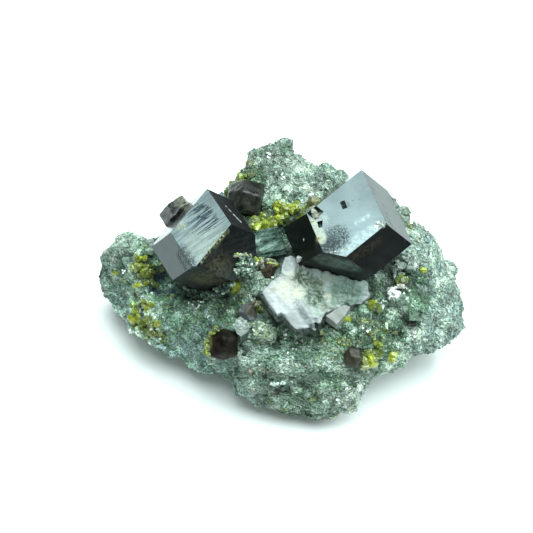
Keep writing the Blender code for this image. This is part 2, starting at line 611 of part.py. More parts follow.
def make_rock(group, material):
    """The rock: cage, even remesh, rough surface, fewer triangles, flat foot."""
    rock = to_object("matrix", rock_cage(), group, material)
    remesh = rock.modifiers.new("Even cells", "REMESH")
    remesh.mode = "VOXEL"
    remesh.voxel_size = VOXEL * MM
    soften = rock.modifiers.new("Soften", "SMOOTH")
    soften.factor = 0.5
    soften.iterations = 1
    bake(rock)
    roughen(rock)
    fewer = rock.modifiers.new("Fewer", "DECIMATE")
    fewer.ratio = ROCK_TRIANGLES / (2 * len(rock.data.polygons))
    fewer.use_collapse_triangulate = True
    bake(rock)
    bm = bmesh.new()
    bm.from_mesh(rock.data)
    bmesh.ops.bisect_plane(bm, geom=bm.verts[:] + bm.edges[:] + bm.faces[:], dist=TOLERANCE * MM,
                           plane_co=(0, 0, 0), plane_no=(0, 0, -1), clear_outer=True)
    fill_open_edges(bm)
    bm.to_mesh(rock.data)
    bm.free()
    return rock


def seat(item, neighbours, group):
    """Cuts a pocket for each neighbour, a gap wider than the neighbour."""
    for piece in neighbours:
        cutter = to_object("pocket_" + piece.name, piece.form(GAP), group)
        cutter.hide_render = True
        cutter.display_type = "WIRE"
        boolean(item, cutter, "DIFFERENCE")
    keep_main_body(item)
    tidy(item)


def chip(item, group):
    """Breaks the named chips out of a crystal."""
    for block in CHIPS.get(item.name, ()):
        bm = bmesh.new()
        block.add(bm)
        cutter = to_object("chip_from_" + item.name, bm, group)
        cutter.hide_render = True
        cutter.display_type = "WIRE"
        boolean(item, cutter, "DIFFERENCE")


def touching(piece, others, boxes):
    """The others whose boxes come within a gap of a piece's box."""
    low, high = boxes[piece.name]
    found = []
    for other in others:
        other_low, other_high = boxes[other.name]
        if all(low[axis] - 2 * GAP < other_high[axis] and other_low[axis] - 2 * GAP < high[axis]
               for axis in range(3)):
            found.append(other)
    return found


def box_of(bm):
    """Corners of a bmesh's box."""
    return ([min(vert.co[axis] for vert in bm.verts) for axis in range(3)],
            [max(vert.co[axis] for vert in bm.verts) for axis in range(3)])


def centre_on_origin(items):
    """Parents the pieces to an empty and puts the middle of their box over the origin."""
    corners = [vert.co for item in items for vert in item.data.vertices]
    shift = Vector((-(min(c.x for c in corners) + max(c.x for c in corners)) / 2,
                    -(min(c.y for c in corners) + max(c.y for c in corners)) / 2, 0.0))
    origin = bpy.data.objects.new("specimen", None)
    bpy.context.scene.collection.objects.link(origin)
    origin.location = shift
    for item in items:
        item.parent = origin
    print("shift_mm", [round(value / MM, 4) for value in shift])


def main():
    """Builds the specimen."""
    scene_reset()
    parts = make_collection("garnet_on_matrix")
    cutters = make_collection("cutters")
    finishes = {name: make_material(name, *values) for name, values in FINISHES.items()}
    items = []
    boxes = {}
    done = []
    for piece in PIECES:
        bm = piece.form()
        boxes[piece.name] = box_of(bm)
        item = to_object(piece.name, bm, parts, finishes[finish_of(piece.name)])
        chip(item, cutters)
        seat(item, touching(piece, done, boxes), cutters)
        done.append(piece)
        items.append(item)
    rock = make_rock(parts, finishes["rock"])
    seat(rock, PIECES, cutters)
    items.append(rock)
    centre_on_origin(items)
    for item in items:
        print(item.name, len(item.data.polygons))


main()
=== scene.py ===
"""Andradite garnets on a lump of green skarn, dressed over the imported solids.

The solids give the places and sizes of the crystals. This script grows the fine detail on them: the
sugary grains of the rock, the streaked and frosted faces of the large garnets, the cleaved calcite,
the ribbed prism, the clear grains and the epidote. The bits strewn between them, and the edges worn
off three small garnets, are its own. Lengths are in millimetres until a mesh is finished.
"""

import logging
import math
from collections.abc import Sequence
from dataclasses import dataclass, field
from enum import Enum

import bmesh
import bpy
import numpy as np
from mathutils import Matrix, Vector, noise
from mathutils.bvhtree import BVHTree

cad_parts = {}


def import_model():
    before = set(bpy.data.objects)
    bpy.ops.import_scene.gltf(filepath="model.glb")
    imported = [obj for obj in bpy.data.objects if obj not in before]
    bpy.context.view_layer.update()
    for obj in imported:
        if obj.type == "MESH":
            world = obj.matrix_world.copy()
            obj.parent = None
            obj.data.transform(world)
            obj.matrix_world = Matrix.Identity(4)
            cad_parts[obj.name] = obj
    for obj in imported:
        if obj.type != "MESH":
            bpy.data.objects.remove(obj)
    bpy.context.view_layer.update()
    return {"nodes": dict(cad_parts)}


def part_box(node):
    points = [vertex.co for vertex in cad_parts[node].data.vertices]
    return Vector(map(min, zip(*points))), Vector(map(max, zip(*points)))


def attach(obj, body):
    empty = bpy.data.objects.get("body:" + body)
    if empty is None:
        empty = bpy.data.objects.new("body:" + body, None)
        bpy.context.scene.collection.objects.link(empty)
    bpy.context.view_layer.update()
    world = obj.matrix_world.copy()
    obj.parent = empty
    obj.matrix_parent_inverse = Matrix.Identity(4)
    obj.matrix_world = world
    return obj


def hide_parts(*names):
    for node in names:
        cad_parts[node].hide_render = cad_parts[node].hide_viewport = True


LOG = logging.getLogger("specimen")
MM = 0.001
BODY = "root"
SEED = 20
TINT = "tint"           # colour attribute: colour, and roughness in its alpha
UP = (0.0, 0.0, 1.0)
GAPS = (0.36, 0.60)     # between these values of its own cloud a patch closes up
WELD = 1e-3             # points nearer than this are one (mm)
SHARP = 12.0            # edges sharper than this are rounded (degrees)
HALF_WAY = 0.5          # how far a point goes towards its neighbours in one round of wear
TRIALS = 3.0            # trial spots for each spot that is kept
CLOUD_GAIN = 1.6        # brings noise up to about -1 to 1
FLATTEN = 0.85          # how far long crystals are laid down on the surface
ROLL = 0.22             # how far they roll about their own length
PRISM_TURN = 37.0       # the way the prism lies (degrees)
SLIT = (0.003, 0.009, 0.007)

Vec = tuple[float, float, float]


# ------------------------------------------------------------------ shader toolkit
class Signal:
    """A node's output, with arithmetic that adds Math nodes."""

    def __init__(self, graph: "Graph", socket: bpy.types.NodeSocket) -> None:
        """Wraps an output socket of a graph."""
        self.graph = graph
        self.socket = socket

    def maths(self, operation: str, *values: "Signal | float") -> "Signal":
        """Adds one Math node on the values given."""
        return self.graph.node("ShaderNodeMath", {"operation": operation}, dict(enumerate(values)))

    def __add__(self, other: "Signal | float") -> "Signal":
        """Sum."""
        return self.maths("ADD", self, other)

    __radd__ = __add__

    def __mul__(self, other: "Signal | float") -> "Signal":
        """Product."""
        return self.maths("MULTIPLY", self, other)

    def __sub__(self, other: "Signal | float") -> "Signal":
        """Difference."""
        return self.maths("SUBTRACT", self, other)

    def __rsub__(self, other: "Signal | float") -> "Signal":
        """Difference, with this signal taken away."""
        return self.maths("SUBTRACT", other, self)

    def most(self, other: "Signal | float") -> "Signal":
        """The larger of two."""
        return self.maths("MAXIMUM", self, other)

    def least(self, other: "Signal | float") -> "Signal":
        """The smaller of two."""
        return self.maths("MINIMUM", self, other)

    def between(self, low: float, high: float, start: float = 0.0, end: float = 1.0) -> "Signal":
        """A smooth rise from start at low to end at high.

        Args:
            low: value at which the rise begins.
            high: value at which it ends.
            start: result below low.
            end: result above high.

        Returns:
            The mapped signal.
        """
        return self.graph.node("ShaderNodeMapRange", {"interpolation_type": "SMOOTHSTEP"},
                               {0: self, 1: low, 2: high, 3: start, 4: end})


class Graph:
    """A material's node tree while it is made."""

    def __init__(self, name: str) -> None:
        """Starts an empty material.

        Args:
            name: the material's name.
        """
        self.material = bpy.data.materials.new(name)
        self.material.use_nodes = True
        self.tree = self.material.node_tree
        self.tree.nodes.clear()

    def feed(self, socket: bpy.types.NodeSocket, value: object) -> None:
        """Links a signal to a socket or sets the socket's value.

        Args:
            socket: the input socket.
            value: a signal, a number or a tuple.
        """
        if isinstance(value, Signal):
            self.tree.links.new(value.socket, socket)
        elif socket.type == "RGBA":
            socket.default_value = (*value[:3], 1.0)
        else:
            socket.default_value = value

    def node(self, kind: str, settings: dict | None = None, inputs: dict | None = None,
             output: int | str = 0) -> Signal:
        """Adds a node.

        Args:
            kind: the node's type.
            settings: its properties, set first; "stops" fills a colour ramp.
            inputs: values or signals by socket name or number.
            output: the output wanted.

        Returns:
            The output as a signal.
        """
        made = self.tree.nodes.new(kind)
        for key, value in (settings or {}).items():
            if key != "stops":
                setattr(made, key, value)
                continue
            elements = made.color_ramp.elements
            while len(elements) < len(value):
                elements.new(0.5)
            for element, (position, colour) in zip(elements, value):
                element.position = position
                element.color = (*colour, 1.0)
        for key, value in (inputs or {}).items():
            self.feed(made.inputs[key], value)
        return Signal(self, made.outputs[output])

    def vector(self, operation: str, inputs: dict, output: str = "Value") -> Signal:
        """Adds one Vector Math node."""
        return self.node("ShaderNodeVectorMath", {"operation": operation}, inputs, output)

    def tint(self, output: str = "Color") -> Signal:
        """The mesh's own colour, or its roughness with the output "Alpha"."""
        return self.node("ShaderNodeAttribute", {"attribute_name": TINT}, None, output)

    def place(self, stretch: Vec = (1.0, 1.0, 1.0), turn: Vec = (0.0, 0.0, 0.0)) -> Signal:
        """Position on the piece in millimetres.

        Args:
            stretch: length along each axis that counts as one millimetre.
            turn: angle about each axis (degrees).

        Returns:
            The position, turned and then squeezed.
        """
        spot = self.node("ShaderNodeTexCoord", output="Object")
        return self.node("ShaderNodeMapping", {"vector_type": "TEXTURE"},
                         {"Vector": spot, "Rotation": tuple(math.radians(angle) for angle in turn),
                          "Scale": tuple(MM * part for part in stretch)})

    def cloud(self, length: float, detail: float = 2.0, where: Signal | None = None,
              rough: float = 0.55) -> Signal:
        """Smooth noise.

        Args:
            length: its wavelength (mm).
            detail: how many finer octaves it has.
            where: the position it is read at, the piece's own if none is given.
            rough: how strong the finer octaves are.

        Returns:
            The noise, from 0 to 1.
        """
        return self.node("ShaderNodeTexNoise", None,
                         {"Vector": where or self.place(), "Scale": 1.0 / length, "Detail": detail,
                          "Roughness": rough})

    def cells(self, size: float, feature: str = "F1", output: str = "Distance",
              where: Signal | None = None) -> Signal:
        """Cells of a size in millimetres."""
        return self.node("ShaderNodeTexVoronoi", {"feature": feature},
                         {"Vector": where or self.place(), "Scale": 1.0 / size}, output)

    def spot(self, centre: Vec, inner: float, outer: float, ragged: float = 0.0,
             end: Vec | None = None) -> Signal:
        """A patch round a point or along a line.

        Args:
            centre: middle of the patch, or the line's start (mm).
            inner: distance within which it is whole.
            outer: distance at which it has faded out.
            ragged: how far a fine cloud moves its edge.
            end: the line's other end.

        Returns:
            1 in the patch, 0 outside it.
        """
        if end is None:
            away = self.vector("DISTANCE", {0: self.place(), 1: centre})
        else:
            way = Vector(end) - Vector(centre)
            step = self.vector("SUBTRACT", {0: self.place(), 1: centre}, "Vector")
            share = self.vector("DOT_PRODUCT", {0: step, 1: tuple(way / way.length_squared)})
            foot = self.vector("SCALE", {0: tuple(way), "Scale": share.between(0.0, 1.0)}, "Vector")
            away = self.vector("DISTANCE", {0: step, 1: foot})
        if ragged:
            away = away + (self.cloud(0.5, 3.0) - 0.5) * ragged
        return 1.0 - away.between(inner, outer)

    def facing(self, normal: Vec, low: float = 0.90, high: float = 0.97) -> Signal:
        """1 on faces that look along a direction, 0 on the others."""
        own = self.node("ShaderNodeTexCoord", output="Normal")
        return self.vector("DOT_PRODUCT", {0: own, 1: normal}).between(low, high)

    def patched(self, colour: object, patches: "Sequence[Patch]") -> "tuple[Signal, Signal, Signal]":
        """Lays patches over a colour.

        Args:
            colour: the colour beneath.
            patches: the patches, in order.

        Returns:
            The colour with its patches, how far they cover it and how far they dull it.
        """
        cover = self.node("ShaderNodeValue")
        hush = self.node("ShaderNodeValue")
        for patch in patches:
            broken = self.cloud(patch.speckle, 3.0).between(*GAPS, patch.least, 1.0)
            mask = self.spot(patch.centre, patch.inner, patch.outer, patch.ragged, patch.end) * broken
            mask = mask * patch.amount
            if patch.faces:
                mask = mask * self.facing(patch.faces)
            colour = self.mix(mask, colour, patch.colour)
            cover = cover.most(mask * patch.matt)
            if patch.hush:
                hush = hush.most(mask * patch.hush)
        return colour, cover, hush

    def mix(self, factor: Signal | float, first: object, second: object,
            blend: str = "MIX") -> Signal:
        """Mixes two colours."""
        return self.node("ShaderNodeMix", {"data_type": "RGBA", "blend_type": blend},
                         {0: factor, 6: first, 7: second}, 2)

    def shade(self, colour: object, factor: Signal) -> Signal:
        """A colour multiplied by a number."""
        return self.mix(1.0, colour, factor, "MULTIPLY")

    def bump(self, height: Signal, depth: float, strength: float = 1.0) -> Signal:
        """A bump of a depth in millimetres."""
        return self.node("ShaderNodeBump", None,
                         {"Strength": strength, "Distance": depth * MM, "Height": height})

    def finish(self, sockets: dict, dull: dict | None = None,
               share: Signal | float = 0.0) -> bpy.types.Material:
        """Adds the shader and the output.

        Args:
            sockets: values or signals of the shader by socket name.
            dull: those of a second shader, where there is one.
            share: how much of the second one is seen.

        Returns:
            The finished material.
        """
        shader = self.node("ShaderNodeBsdfPrincipled", None, sockets)
        if dull is not None:
            second = self.node("ShaderNodeBsdfPrincipled", None, dull)
            shader = self.node("ShaderNodeMixShader", None, {0: share, 1: shader, 2: second})
        made = self.tree.nodes.new("ShaderNodeOutputMaterial")
        self.tree.links.new(shader.socket, made.inputs["Surface"])
        return self.material


# ------------------------------------------------------------------ mesh toolkit
def build_mesh(name: str, points: np.ndarray, faces: np.ndarray, tint: np.ndarray | None = None,
               smooth: bool = False) -> bpy.types.Mesh:
    """Makes a mesh from points in millimetres.

    Args:
        name: the mesh's name.
        points: positions, n by 3.
        faces: corner numbers, m by 3 or 4.
        tint: colour and roughness of each point, n by 4.
        smooth: whether the faces are shaded smooth.

    Returns:
        The mesh, in metres.
    """
    mesh = bpy.data.meshes.new(name)
    mesh.vertices.add(len(points))
    mesh.vertices.foreach_set("co", (points * MM).astype(np.float32).ravel())
    mesh.loops.add(faces.size)
    mesh.loops.foreach_set("vertex_index", faces.astype(np.int32).ravel())
    mesh.polygons.add(len(faces))
    starts = np.arange(len(faces), dtype=np.int32) * faces.shape[1]
    mesh.polygons.foreach_set("loop_start", starts)
    mesh.update(calc_edges=True)
    mesh.validate()
    if tint is not None:
        paint(mesh, tint)
    mesh.polygons.foreach_set("use_smooth", np.full(len(mesh.polygons), smooth))
    return mesh


def make_piece(name: str, mesh: bpy.types.Mesh, material: bpy.types.Material,
               nodes: Sequence[str] = ()) -> bpy.types.Object:
    """Puts a mesh in the scene as a piece of the specimen.

    Args:
        name: the piece's name.
        mesh: its mesh, in metres.
        material: its material.
        nodes: the solids that it stands for.

    Returns:
        The piece.
    """
    piece = bpy.data.objects.new(name, mesh)
    mesh.materials.clear()
    mesh.materials.append(material)
    bpy.context.scene.collection.objects.link(piece)
    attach(piece, BODY)
    if nodes:
        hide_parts(*nodes)
    LOG.info("%s: %d faces, stands for %s", name, len(mesh.polygons), ", ".join(nodes) or "nothing")
    return piece


def points_of(mesh: bpy.types.Mesh) -> np.ndarray:
    """Positions of a mesh's points.

    Args:
        mesh: the mesh.

    Returns:
        Millimetres, n by 3.
    """
    flat = np.empty(len(mesh.vertices) * 3, np.float32)
    mesh.vertices.foreach_get("co", flat)
    return flat.reshape(-1, 3).astype(float) / MM


def normals_of(mesh: bpy.types.Mesh) -> np.ndarray:
    """Normals at a mesh's points.

    Args:
        mesh: the mesh.

    Returns:
        Normals of length one, n by 3.
    """
    flat = np.empty(len(mesh.vertices) * 3, np.float32)
    mesh.vertex_normals.foreach_get("vector", flat)
    return flat.reshape(-1, 3).astype(float)


def move_points(mesh: bpy.types.Mesh, points: np.ndarray) -> None:
    """Sets a mesh's points from millimetres."""
    mesh.vertices.foreach_set("co", (points * MM).astype(np.float32).ravel())
    mesh.update()


def paint(mesh: bpy.types.Mesh, tint: np.ndarray) -> None:
    """Gives a mesh its colour and roughness, point by point."""
    layer = mesh.color_attributes.new(TINT, "FLOAT_COLOR", "POINT")
    layer.data.foreach_set("color", tint.astype(np.float32).ravel())


def remesh(node: bpy.types.Object, voxel: float) -> bpy.types.Mesh:
    """A copy of a solid's mesh in even small faces.

    Args:
        node: the solid's object.
        voxel: size of a face (mm).

    Returns:
        The new mesh, shaded smooth.
    """
    item = bpy.data.objects.new(node.name + "_fine", node.data.copy())
    bpy.context.scene.collection.objects.link(item)
    weld = item.modifiers.new("Weld", "WELD")
    weld.merge_threshold = WELD * MM
    change = item.modifiers.new("Remesh", "REMESH")
    change.mode = "VOXEL"
    change.voxel_size = voxel * MM
    bpy.context.view_layer.update()
    graph = bpy.context.evaluated_depsgraph_get()
    mesh = bpy.data.meshes.new_from_object(item.evaluated_get(graph))
    bpy.data.objects.remove(item, do_unlink=True)
    mesh.polygons.foreach_set("use_smooth", np.full(len(mesh.polygons), True))
    return mesh


def bevelled(node: bpy.types.Object, width: float, flat: float = 1.0) -> bpy.types.Mesh:
    """A copy of a solid's mesh with whole faces and slightly rounded edges.

    Args:
        node: the solid's object.
        width: width of the rounding (mm).
        flat: largest angle between faces that are joined (degrees).

    Returns:
        The new mesh, with flat faces.
    """
    bm = bmesh.new()
    bm.from_mesh(node.data)
    bmesh.ops.remove_doubles(bm, verts=bm.verts[:], dist=2 * WELD * MM)
    bmesh.ops.dissolve_limit(bm, angle_limit=math.radians(flat), verts=bm.verts[:],
                             edges=bm.edges[:], delimit=set())
    sharp = [edge for edge in bm.edges
             if len(edge.link_faces) == 2 and edge.calc_face_angle(0.0) > math.radians(SHARP)]
    bmesh.ops.bevel(bm, geom=sharp, offset=width * MM, offset_type="OFFSET", segments=2,
                    profile=0.5, affect="EDGES", clamp_overlap=True)
    mesh = bpy.data.meshes.new(node.name + "_crisp")
    bm.to_mesh(mesh)
    bm.free()
    mesh.polygons.foreach_set("use_smooth", np.full(len(mesh.polygons), False))
    return mesh


def relax(mesh: bpy.types.Mesh, rounds: int, axes: Sequence[int],
          weight: np.ndarray | float) -> bpy.types.Mesh:
    """Draws each point of a mesh towards the mean of its neighbours.

    Args:
        mesh: the mesh to change.
        rounds: how many times it is done.
        axes: the directions in which points move.
        weight: how much of the way they go each time.

    Returns:
        The same mesh.
    """
    points = points_of(mesh)
    pairs = np.array([edge.vertices for edge in mesh.edges])
    ends, others = np.concatenate((pairs, pairs[:, ::-1])).T
    number = np.bincount(ends, minlength=len(points))
    for _ in range(rounds):
        for axis in axes:
            mean = np.bincount(ends, points[others, axis], len(points)) / number
            points[:, axis] += (mean - points[:, axis]) * weight
    move_points(mesh, points)
    return mesh


def smoothed(mesh: bpy.types.Mesh, rounds: int) -> bpy.types.Mesh:
    """Smooths the upward parts of a mesh up and down, its outline kept."""
    return relax(mesh, rounds, (2,), np.clip(normals_of(mesh)[:, 2] * 2.0, 0.0, 1.0) * HALF_WAY)


def rounded(mesh: bpy.types.Mesh, rounds: int) -> bpy.types.Mesh:
    """Wears the edges of a mesh round."""
    return relax(mesh, rounds, (0, 1, 2), HALF_WAY)


def cloud_at(points: np.ndarray, length: float, shift: float = 0.0) -> np.ndarray:
    """Smooth noise from about -1 to 1 at points, of a wavelength in millimetres."""
    moved = points / length + shift
    return np.array([noise.noise(Vector(spot)) for spot in moved]) * CLOUD_GAIN


def tree_of(nodes: Sequence[bpy.types.Object]) -> BVHTree:
    """A search tree over several solids.

    Args:
        nodes: the solids' objects.

    Returns:
        The tree, in millimetres.
    """
    points: list[np.ndarray] = []
    faces: list[list[int]] = []
    start = 0
    for node in nodes:
        found = points_of(node.data)
        faces += [[start + corner for corner in face.vertices] for face in node.data.polygons]
        points.append(found)
        start += len(found)
    return BVHTree.FromPolygons([Vector(spot) for spot in np.concatenate(points)], faces)


def sample(mesh: bpy.types.Mesh, spacing: float,
           rng: np.random.Generator) -> tuple[np.ndarray, np.ndarray]:
    """Spots spread evenly over a mesh.

    Args:
        mesh: the mesh.
        spacing: about how far apart the spots lie (mm).
        rng: the source of chance.

    Returns:
        The spots and the surface's normals there.
    """
    mesh.calc_loop_triangles()
    count = len(mesh.loop_triangles)
    corners = np.empty(count * 3, np.int32)
    mesh.loop_triangles.foreach_get("vertices", corners)
    triangles = points_of(mesh)[corners.reshape(-1, 3)]
    across = np.cross(triangles[:, 1] - triangles[:, 0], triangles[:, 2] - triangles[:, 0])
    area = np.linalg.norm(across, axis=1) / 2
    wanted = int(area.sum() / spacing ** 2 * TRIALS)
    chosen = rng.choice(count, wanted, p=area / area.sum())
    first, second = rng.random((2, wanted, 1))
    over = first + second > 1
    first, second = np.where(over, 1 - first, first), np.where(over, 1 - second, second)
    picked = triangles[chosen]
    spots = picked[:, 0] + (picked[:, 1] - picked[:, 0]) * first
    spots += (picked[:, 2] - picked[:, 0]) * second
    boxes = np.floor(spots / spacing).astype(int)
    kept = np.sort(np.unique(boxes, axis=0, return_index=True)[1])
    normals = across[chosen[kept]] / (2 * area[chosen[kept], None])
    return spots[kept], normals


def random_turns(count: int, rng: np.random.Generator) -> np.ndarray:
    """Rotations that favour no direction.

    Args:
        count: how many.
        rng: the source of chance.

    Returns:
        Rotations, count by 3 by 3.
    """
    w, x, y, z = (part[:, None] for part in _unit(rng.normal(size=(count, 4))).T)
    rows = (1 - 2 * (y * y + z * z), 2 * (x * y - z * w), 2 * (x * z + y * w),
            2 * (x * y + z * w), 1 - 2 * (x * x + z * z), 2 * (y * z - x * w),
            2 * (x * z - y * w), 2 * (y * z + x * w), 1 - 2 * (x * x + y * y))
    return np.concatenate(rows, axis=1).reshape(-1, 3, 3)


def _unit(rows: np.ndarray) -> np.ndarray:
    """Rows scaled to length one."""
    return rows / np.linalg.norm(rows, axis=1, keepdims=True)


class Form(Enum):
    """Shapes that a small crystal can have."""
    BLOCK = "block"
    SPINDLE = "spindle"
    NUGGET = "nugget"


def _block() -> tuple[np.ndarray, np.ndarray]:
    """A cube of side one.

    Returns:
        Its corners and its triangles.
    """
    corners = np.array([(x, y, z) for x in (-1, 1) for y in (-1, 1) for z in (-1, 1)]) * 0.5
    quads = ((0, 1, 3, 2), (4, 6, 7, 5), (0, 4, 5, 1), (2, 3, 7, 6), (0, 2, 6, 4), (1, 5, 7, 3))
    faces = [part for a, b, c, d in quads for part in ((a, b, c), (a, c, d))]
    return corners, np.array(faces)


def _spindle() -> tuple[np.ndarray, np.ndarray]:
    """A double pyramid, a little longer than one.

    Returns:
        Its corners and its triangles.
    """
    corners = np.array([(1, 0, 0), (-1, 0, 0), (0, 1, 0), (0, -1, 0), (0, 0, 1), (0, 0, -1)]) * 0.6
    faces = [(0, 2, 4), (2, 1, 4), (1, 3, 4), (3, 0, 4), (2, 0, 5), (1, 2, 5), (3, 1, 5), (0, 3, 5)]
    return corners, np.array(faces)


def _nugget() -> tuple[np.ndarray, np.ndarray]:
    """A stubby six-sided prism of length one with bevelled ends.

    Returns:
        Its corners and its triangles.
    """
    rings = ((-0.5, 0.55), (-0.28, 1.0), (0.28, 1.0), (0.5, 0.55))
    angles = np.arange(6) * math.tau / 6
    corners = [(along, math.cos(a) * 0.5 * share, math.sin(a) * 0.5 * share)
               for along, share in rings for a in angles]
    faces = []
    for ring in range(3):
        for step in range(6):
            a, b = ring * 6 + step, ring * 6 + (step + 1) % 6
            faces += [(a, b, b + 6), (a, b + 6, a + 6)]
    for first, order in ((0, -1), (18, 1)):
        cap = [first + step for step in range(6)][::order]
        faces += [(cap[0], cap[k], cap[k + 1]) for k in range(1, 5)]
    return np.array(corners), np.array(faces)


FORMS: dict[Form, tuple[np.ndarray, np.ndarray]] = {
    Form.BLOCK: _block(), Form.SPINDLE: _spindle(), Form.NUGGET: _nugget()}


def grow(form: Form, spots: np.ndarray, sizes: np.ndarray, turns: np.ndarray, jitter: float,
         rng: np.random.Generator) -> tuple[np.ndarray, np.ndarray]:
    """Puts a small crystal at every spot.

    Args:
        form: shape of the crystals.
        spots: their middles, n by 3 (mm).
        sizes: their length, width and height, n by 3 (mm).
        turns: their rotations, n by 3 by 3.
        jitter: how far corners stray, as a share of the size.
        rng: the source of chance.

    Returns:
        All corners, and the faces as triangles.
    """
    corners, faces = FORMS[form]
    strayed = corners + rng.uniform(-jitter, jitter, (len(spots), *corners.shape))
    placed = np.einsum("nij,nkj->nki", turns, strayed * sizes[:, None]) + spots[:, None]
    starts = np.arange(len(spots))[:, None, None] * len(corners)
    return placed.reshape(-1, 3), (faces[None] + starts).reshape(-1, 3)


def headings_at(points: np.ndarray, length: float, shift: float) -> np.ndarray:
    """Directions that turn slowly from place to place, over a length in millimetres."""
    return _unit(np.stack([cloud_at(points, length, shift + offset) for offset in (0.0, 31.7, 63.1)],
                          axis=1) + 1e-6)


def lay_along(normals: np.ndarray, headings: np.ndarray, stray: float,
              rng: np.random.Generator) -> np.ndarray:
    """Rotations that lay crystals' long axes along the surface.

    Args:
        normals: the surface's normals, n by 3.
        headings: directions that the long axes keep to, n by 3.
        stray: how far they leave the headings.
        rng: the source of chance.

    Returns:
        Rotations, n by 3 by 3.
    """
    along = headings + rng.normal(size=normals.shape) * stray
    along -= normals * (along * normals).sum(1, keepdims=True) * FLATTEN
    along = _unit(along)
    side = _unit(np.cross(normals, along) + rng.normal(size=normals.shape) * ROLL)
    up = _unit(np.cross(along, side))
    side = np.cross(up, along)
    return np.stack((along, side, up), axis=2)


def per_corner(form: Form, tint: np.ndarray) -> np.ndarray:
    """Tints of crystals, repeated for their corners."""
    return np.repeat(tint, len(FORMS[form][0]), axis=0)


def pick(near: np.ndarray, count: int, rng: np.random.Generator) -> np.ndarray:
    """Numbers of up to a count of the spots marked, none twice."""
    found = np.flatnonzero(near)
    return rng.choice(found, min(count, len(found)), replace=False)


def off_line(points: np.ndarray, start: Sequence[float], end: Sequence[float]) -> np.ndarray:
    """How far points lie from a line, on the plane or in space.

    Args:
        points: positions, n by 2 or 3 (mm).
        start: one end of the line.
        end: its other end.

    Returns:
        Distances (mm).
    """
    base, way = np.array(start), np.array(end) - np.array(start)
    along = np.clip((points - base) @ way / (way @ way), 0.0, 1.0)
    return np.linalg.norm(points - base - along[:, None] * way, axis=1)


def core_of(core: bpy.types.Mesh, depth: float) -> tuple[np.ndarray, np.ndarray]:
    """The inner form that grains are grown over.

    Args:
        core: the mesh.
        depth: how far its points move in (mm).

    Returns:
        The points, moved in, and the triangles.
    """
    inner = points_of(core) - normals_of(core) * depth
    core.calc_loop_triangles()
    return inner, np.array([face.vertices for face in core.loop_triangles])


def kept_near(name: str, corners: np.ndarray, margin: float) -> np.ndarray:
    """Corners kept within a margin (mm) of a solid's box."""
    low, high = (np.array(corner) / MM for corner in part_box(name))
    return np.clip(corners, low - margin, high + margin)


def hashed(numbers: np.ndarray, seed: tuple[float, float]) -> np.ndarray:
    """A value from -1 to 1 for each whole number, without order."""
    return np.modf(np.sin(numbers * seed[0]) * seed[1])[0]


@dataclass
class Heap:
    """Bits of a mesh, gathered until it is built."""
    points: list[np.ndarray] = field(default_factory=list)
    faces: list[np.ndarray] = field(default_factory=list)
    tints: list[np.ndarray] = field(default_factory=list)

    def add(self, points: np.ndarray, faces: np.ndarray, tint: np.ndarray) -> None:
        """Adds one bit.

        Args:
            points: its points, n by 3 (mm).
            faces: its triangles, by the numbers of its own points.
            tint: colour and roughness of each point, n by 4.
        """
        self.faces.append(faces + sum(len(part) for part in self.points))
        self.points.append(points)
        self.tints.append(tint)

    def build(self, name: str) -> bpy.types.Mesh:
        """Makes the mesh."""
        return build_mesh(name, np.concatenate(self.points), np.concatenate(self.faces),
                          np.concatenate(self.tints))


# ------------------------------------------------------------------ minerals of the rock
class Mineral(Enum):
    """Kinds of grain that make up the skarn, with their colours."""
    WHITE = (0.58, 0.62, 0.55)
    PALE = (0.37, 0.445, 0.36)
    GREY = (0.20, 0.265, 0.22)
    BLUE = (0.135, 0.205, 0.19)
    GREEN = (0.066, 0.132, 0.076)
    # DARK and STEEL also serve as painted shade: zones in hollows, crevices and under the left garnet
    # are filled mostly with them
    DARK = (0.016, 0.034, 0.023)
    OLIVE = (0.165, 0.205, 0.060)
    RUST = (0.24, 0.15, 0.09)
    STEEL = (0.022, 0.045, 0.075)


ORDER = tuple(Mineral)
LETTERS = dict(zip("WPGBNDORS", Mineral))


def percent(**shares: int) -> tuple[tuple[Mineral, float], ...]:
    """A mixture of minerals, in percent by their letters."""
    return tuple((LETTERS[letter], share / 100) for letter, share in shares.items())


@dataclass(frozen=True)
class Zone:
    """A part of the rock with its own mixture of grains."""
    name: str
    centre: Vec
    radius: float
    mix: tuple[tuple[Mineral, float], ...]
    grain: float = 1.0              # size of its grains against the usual
    stretch: float = 1.0            # the higher, the more of them are long
    tone: float = 1.0               # how pale they are
    heading: Vec = (0.0, 0.0, 0.0)  # which way its long grains point


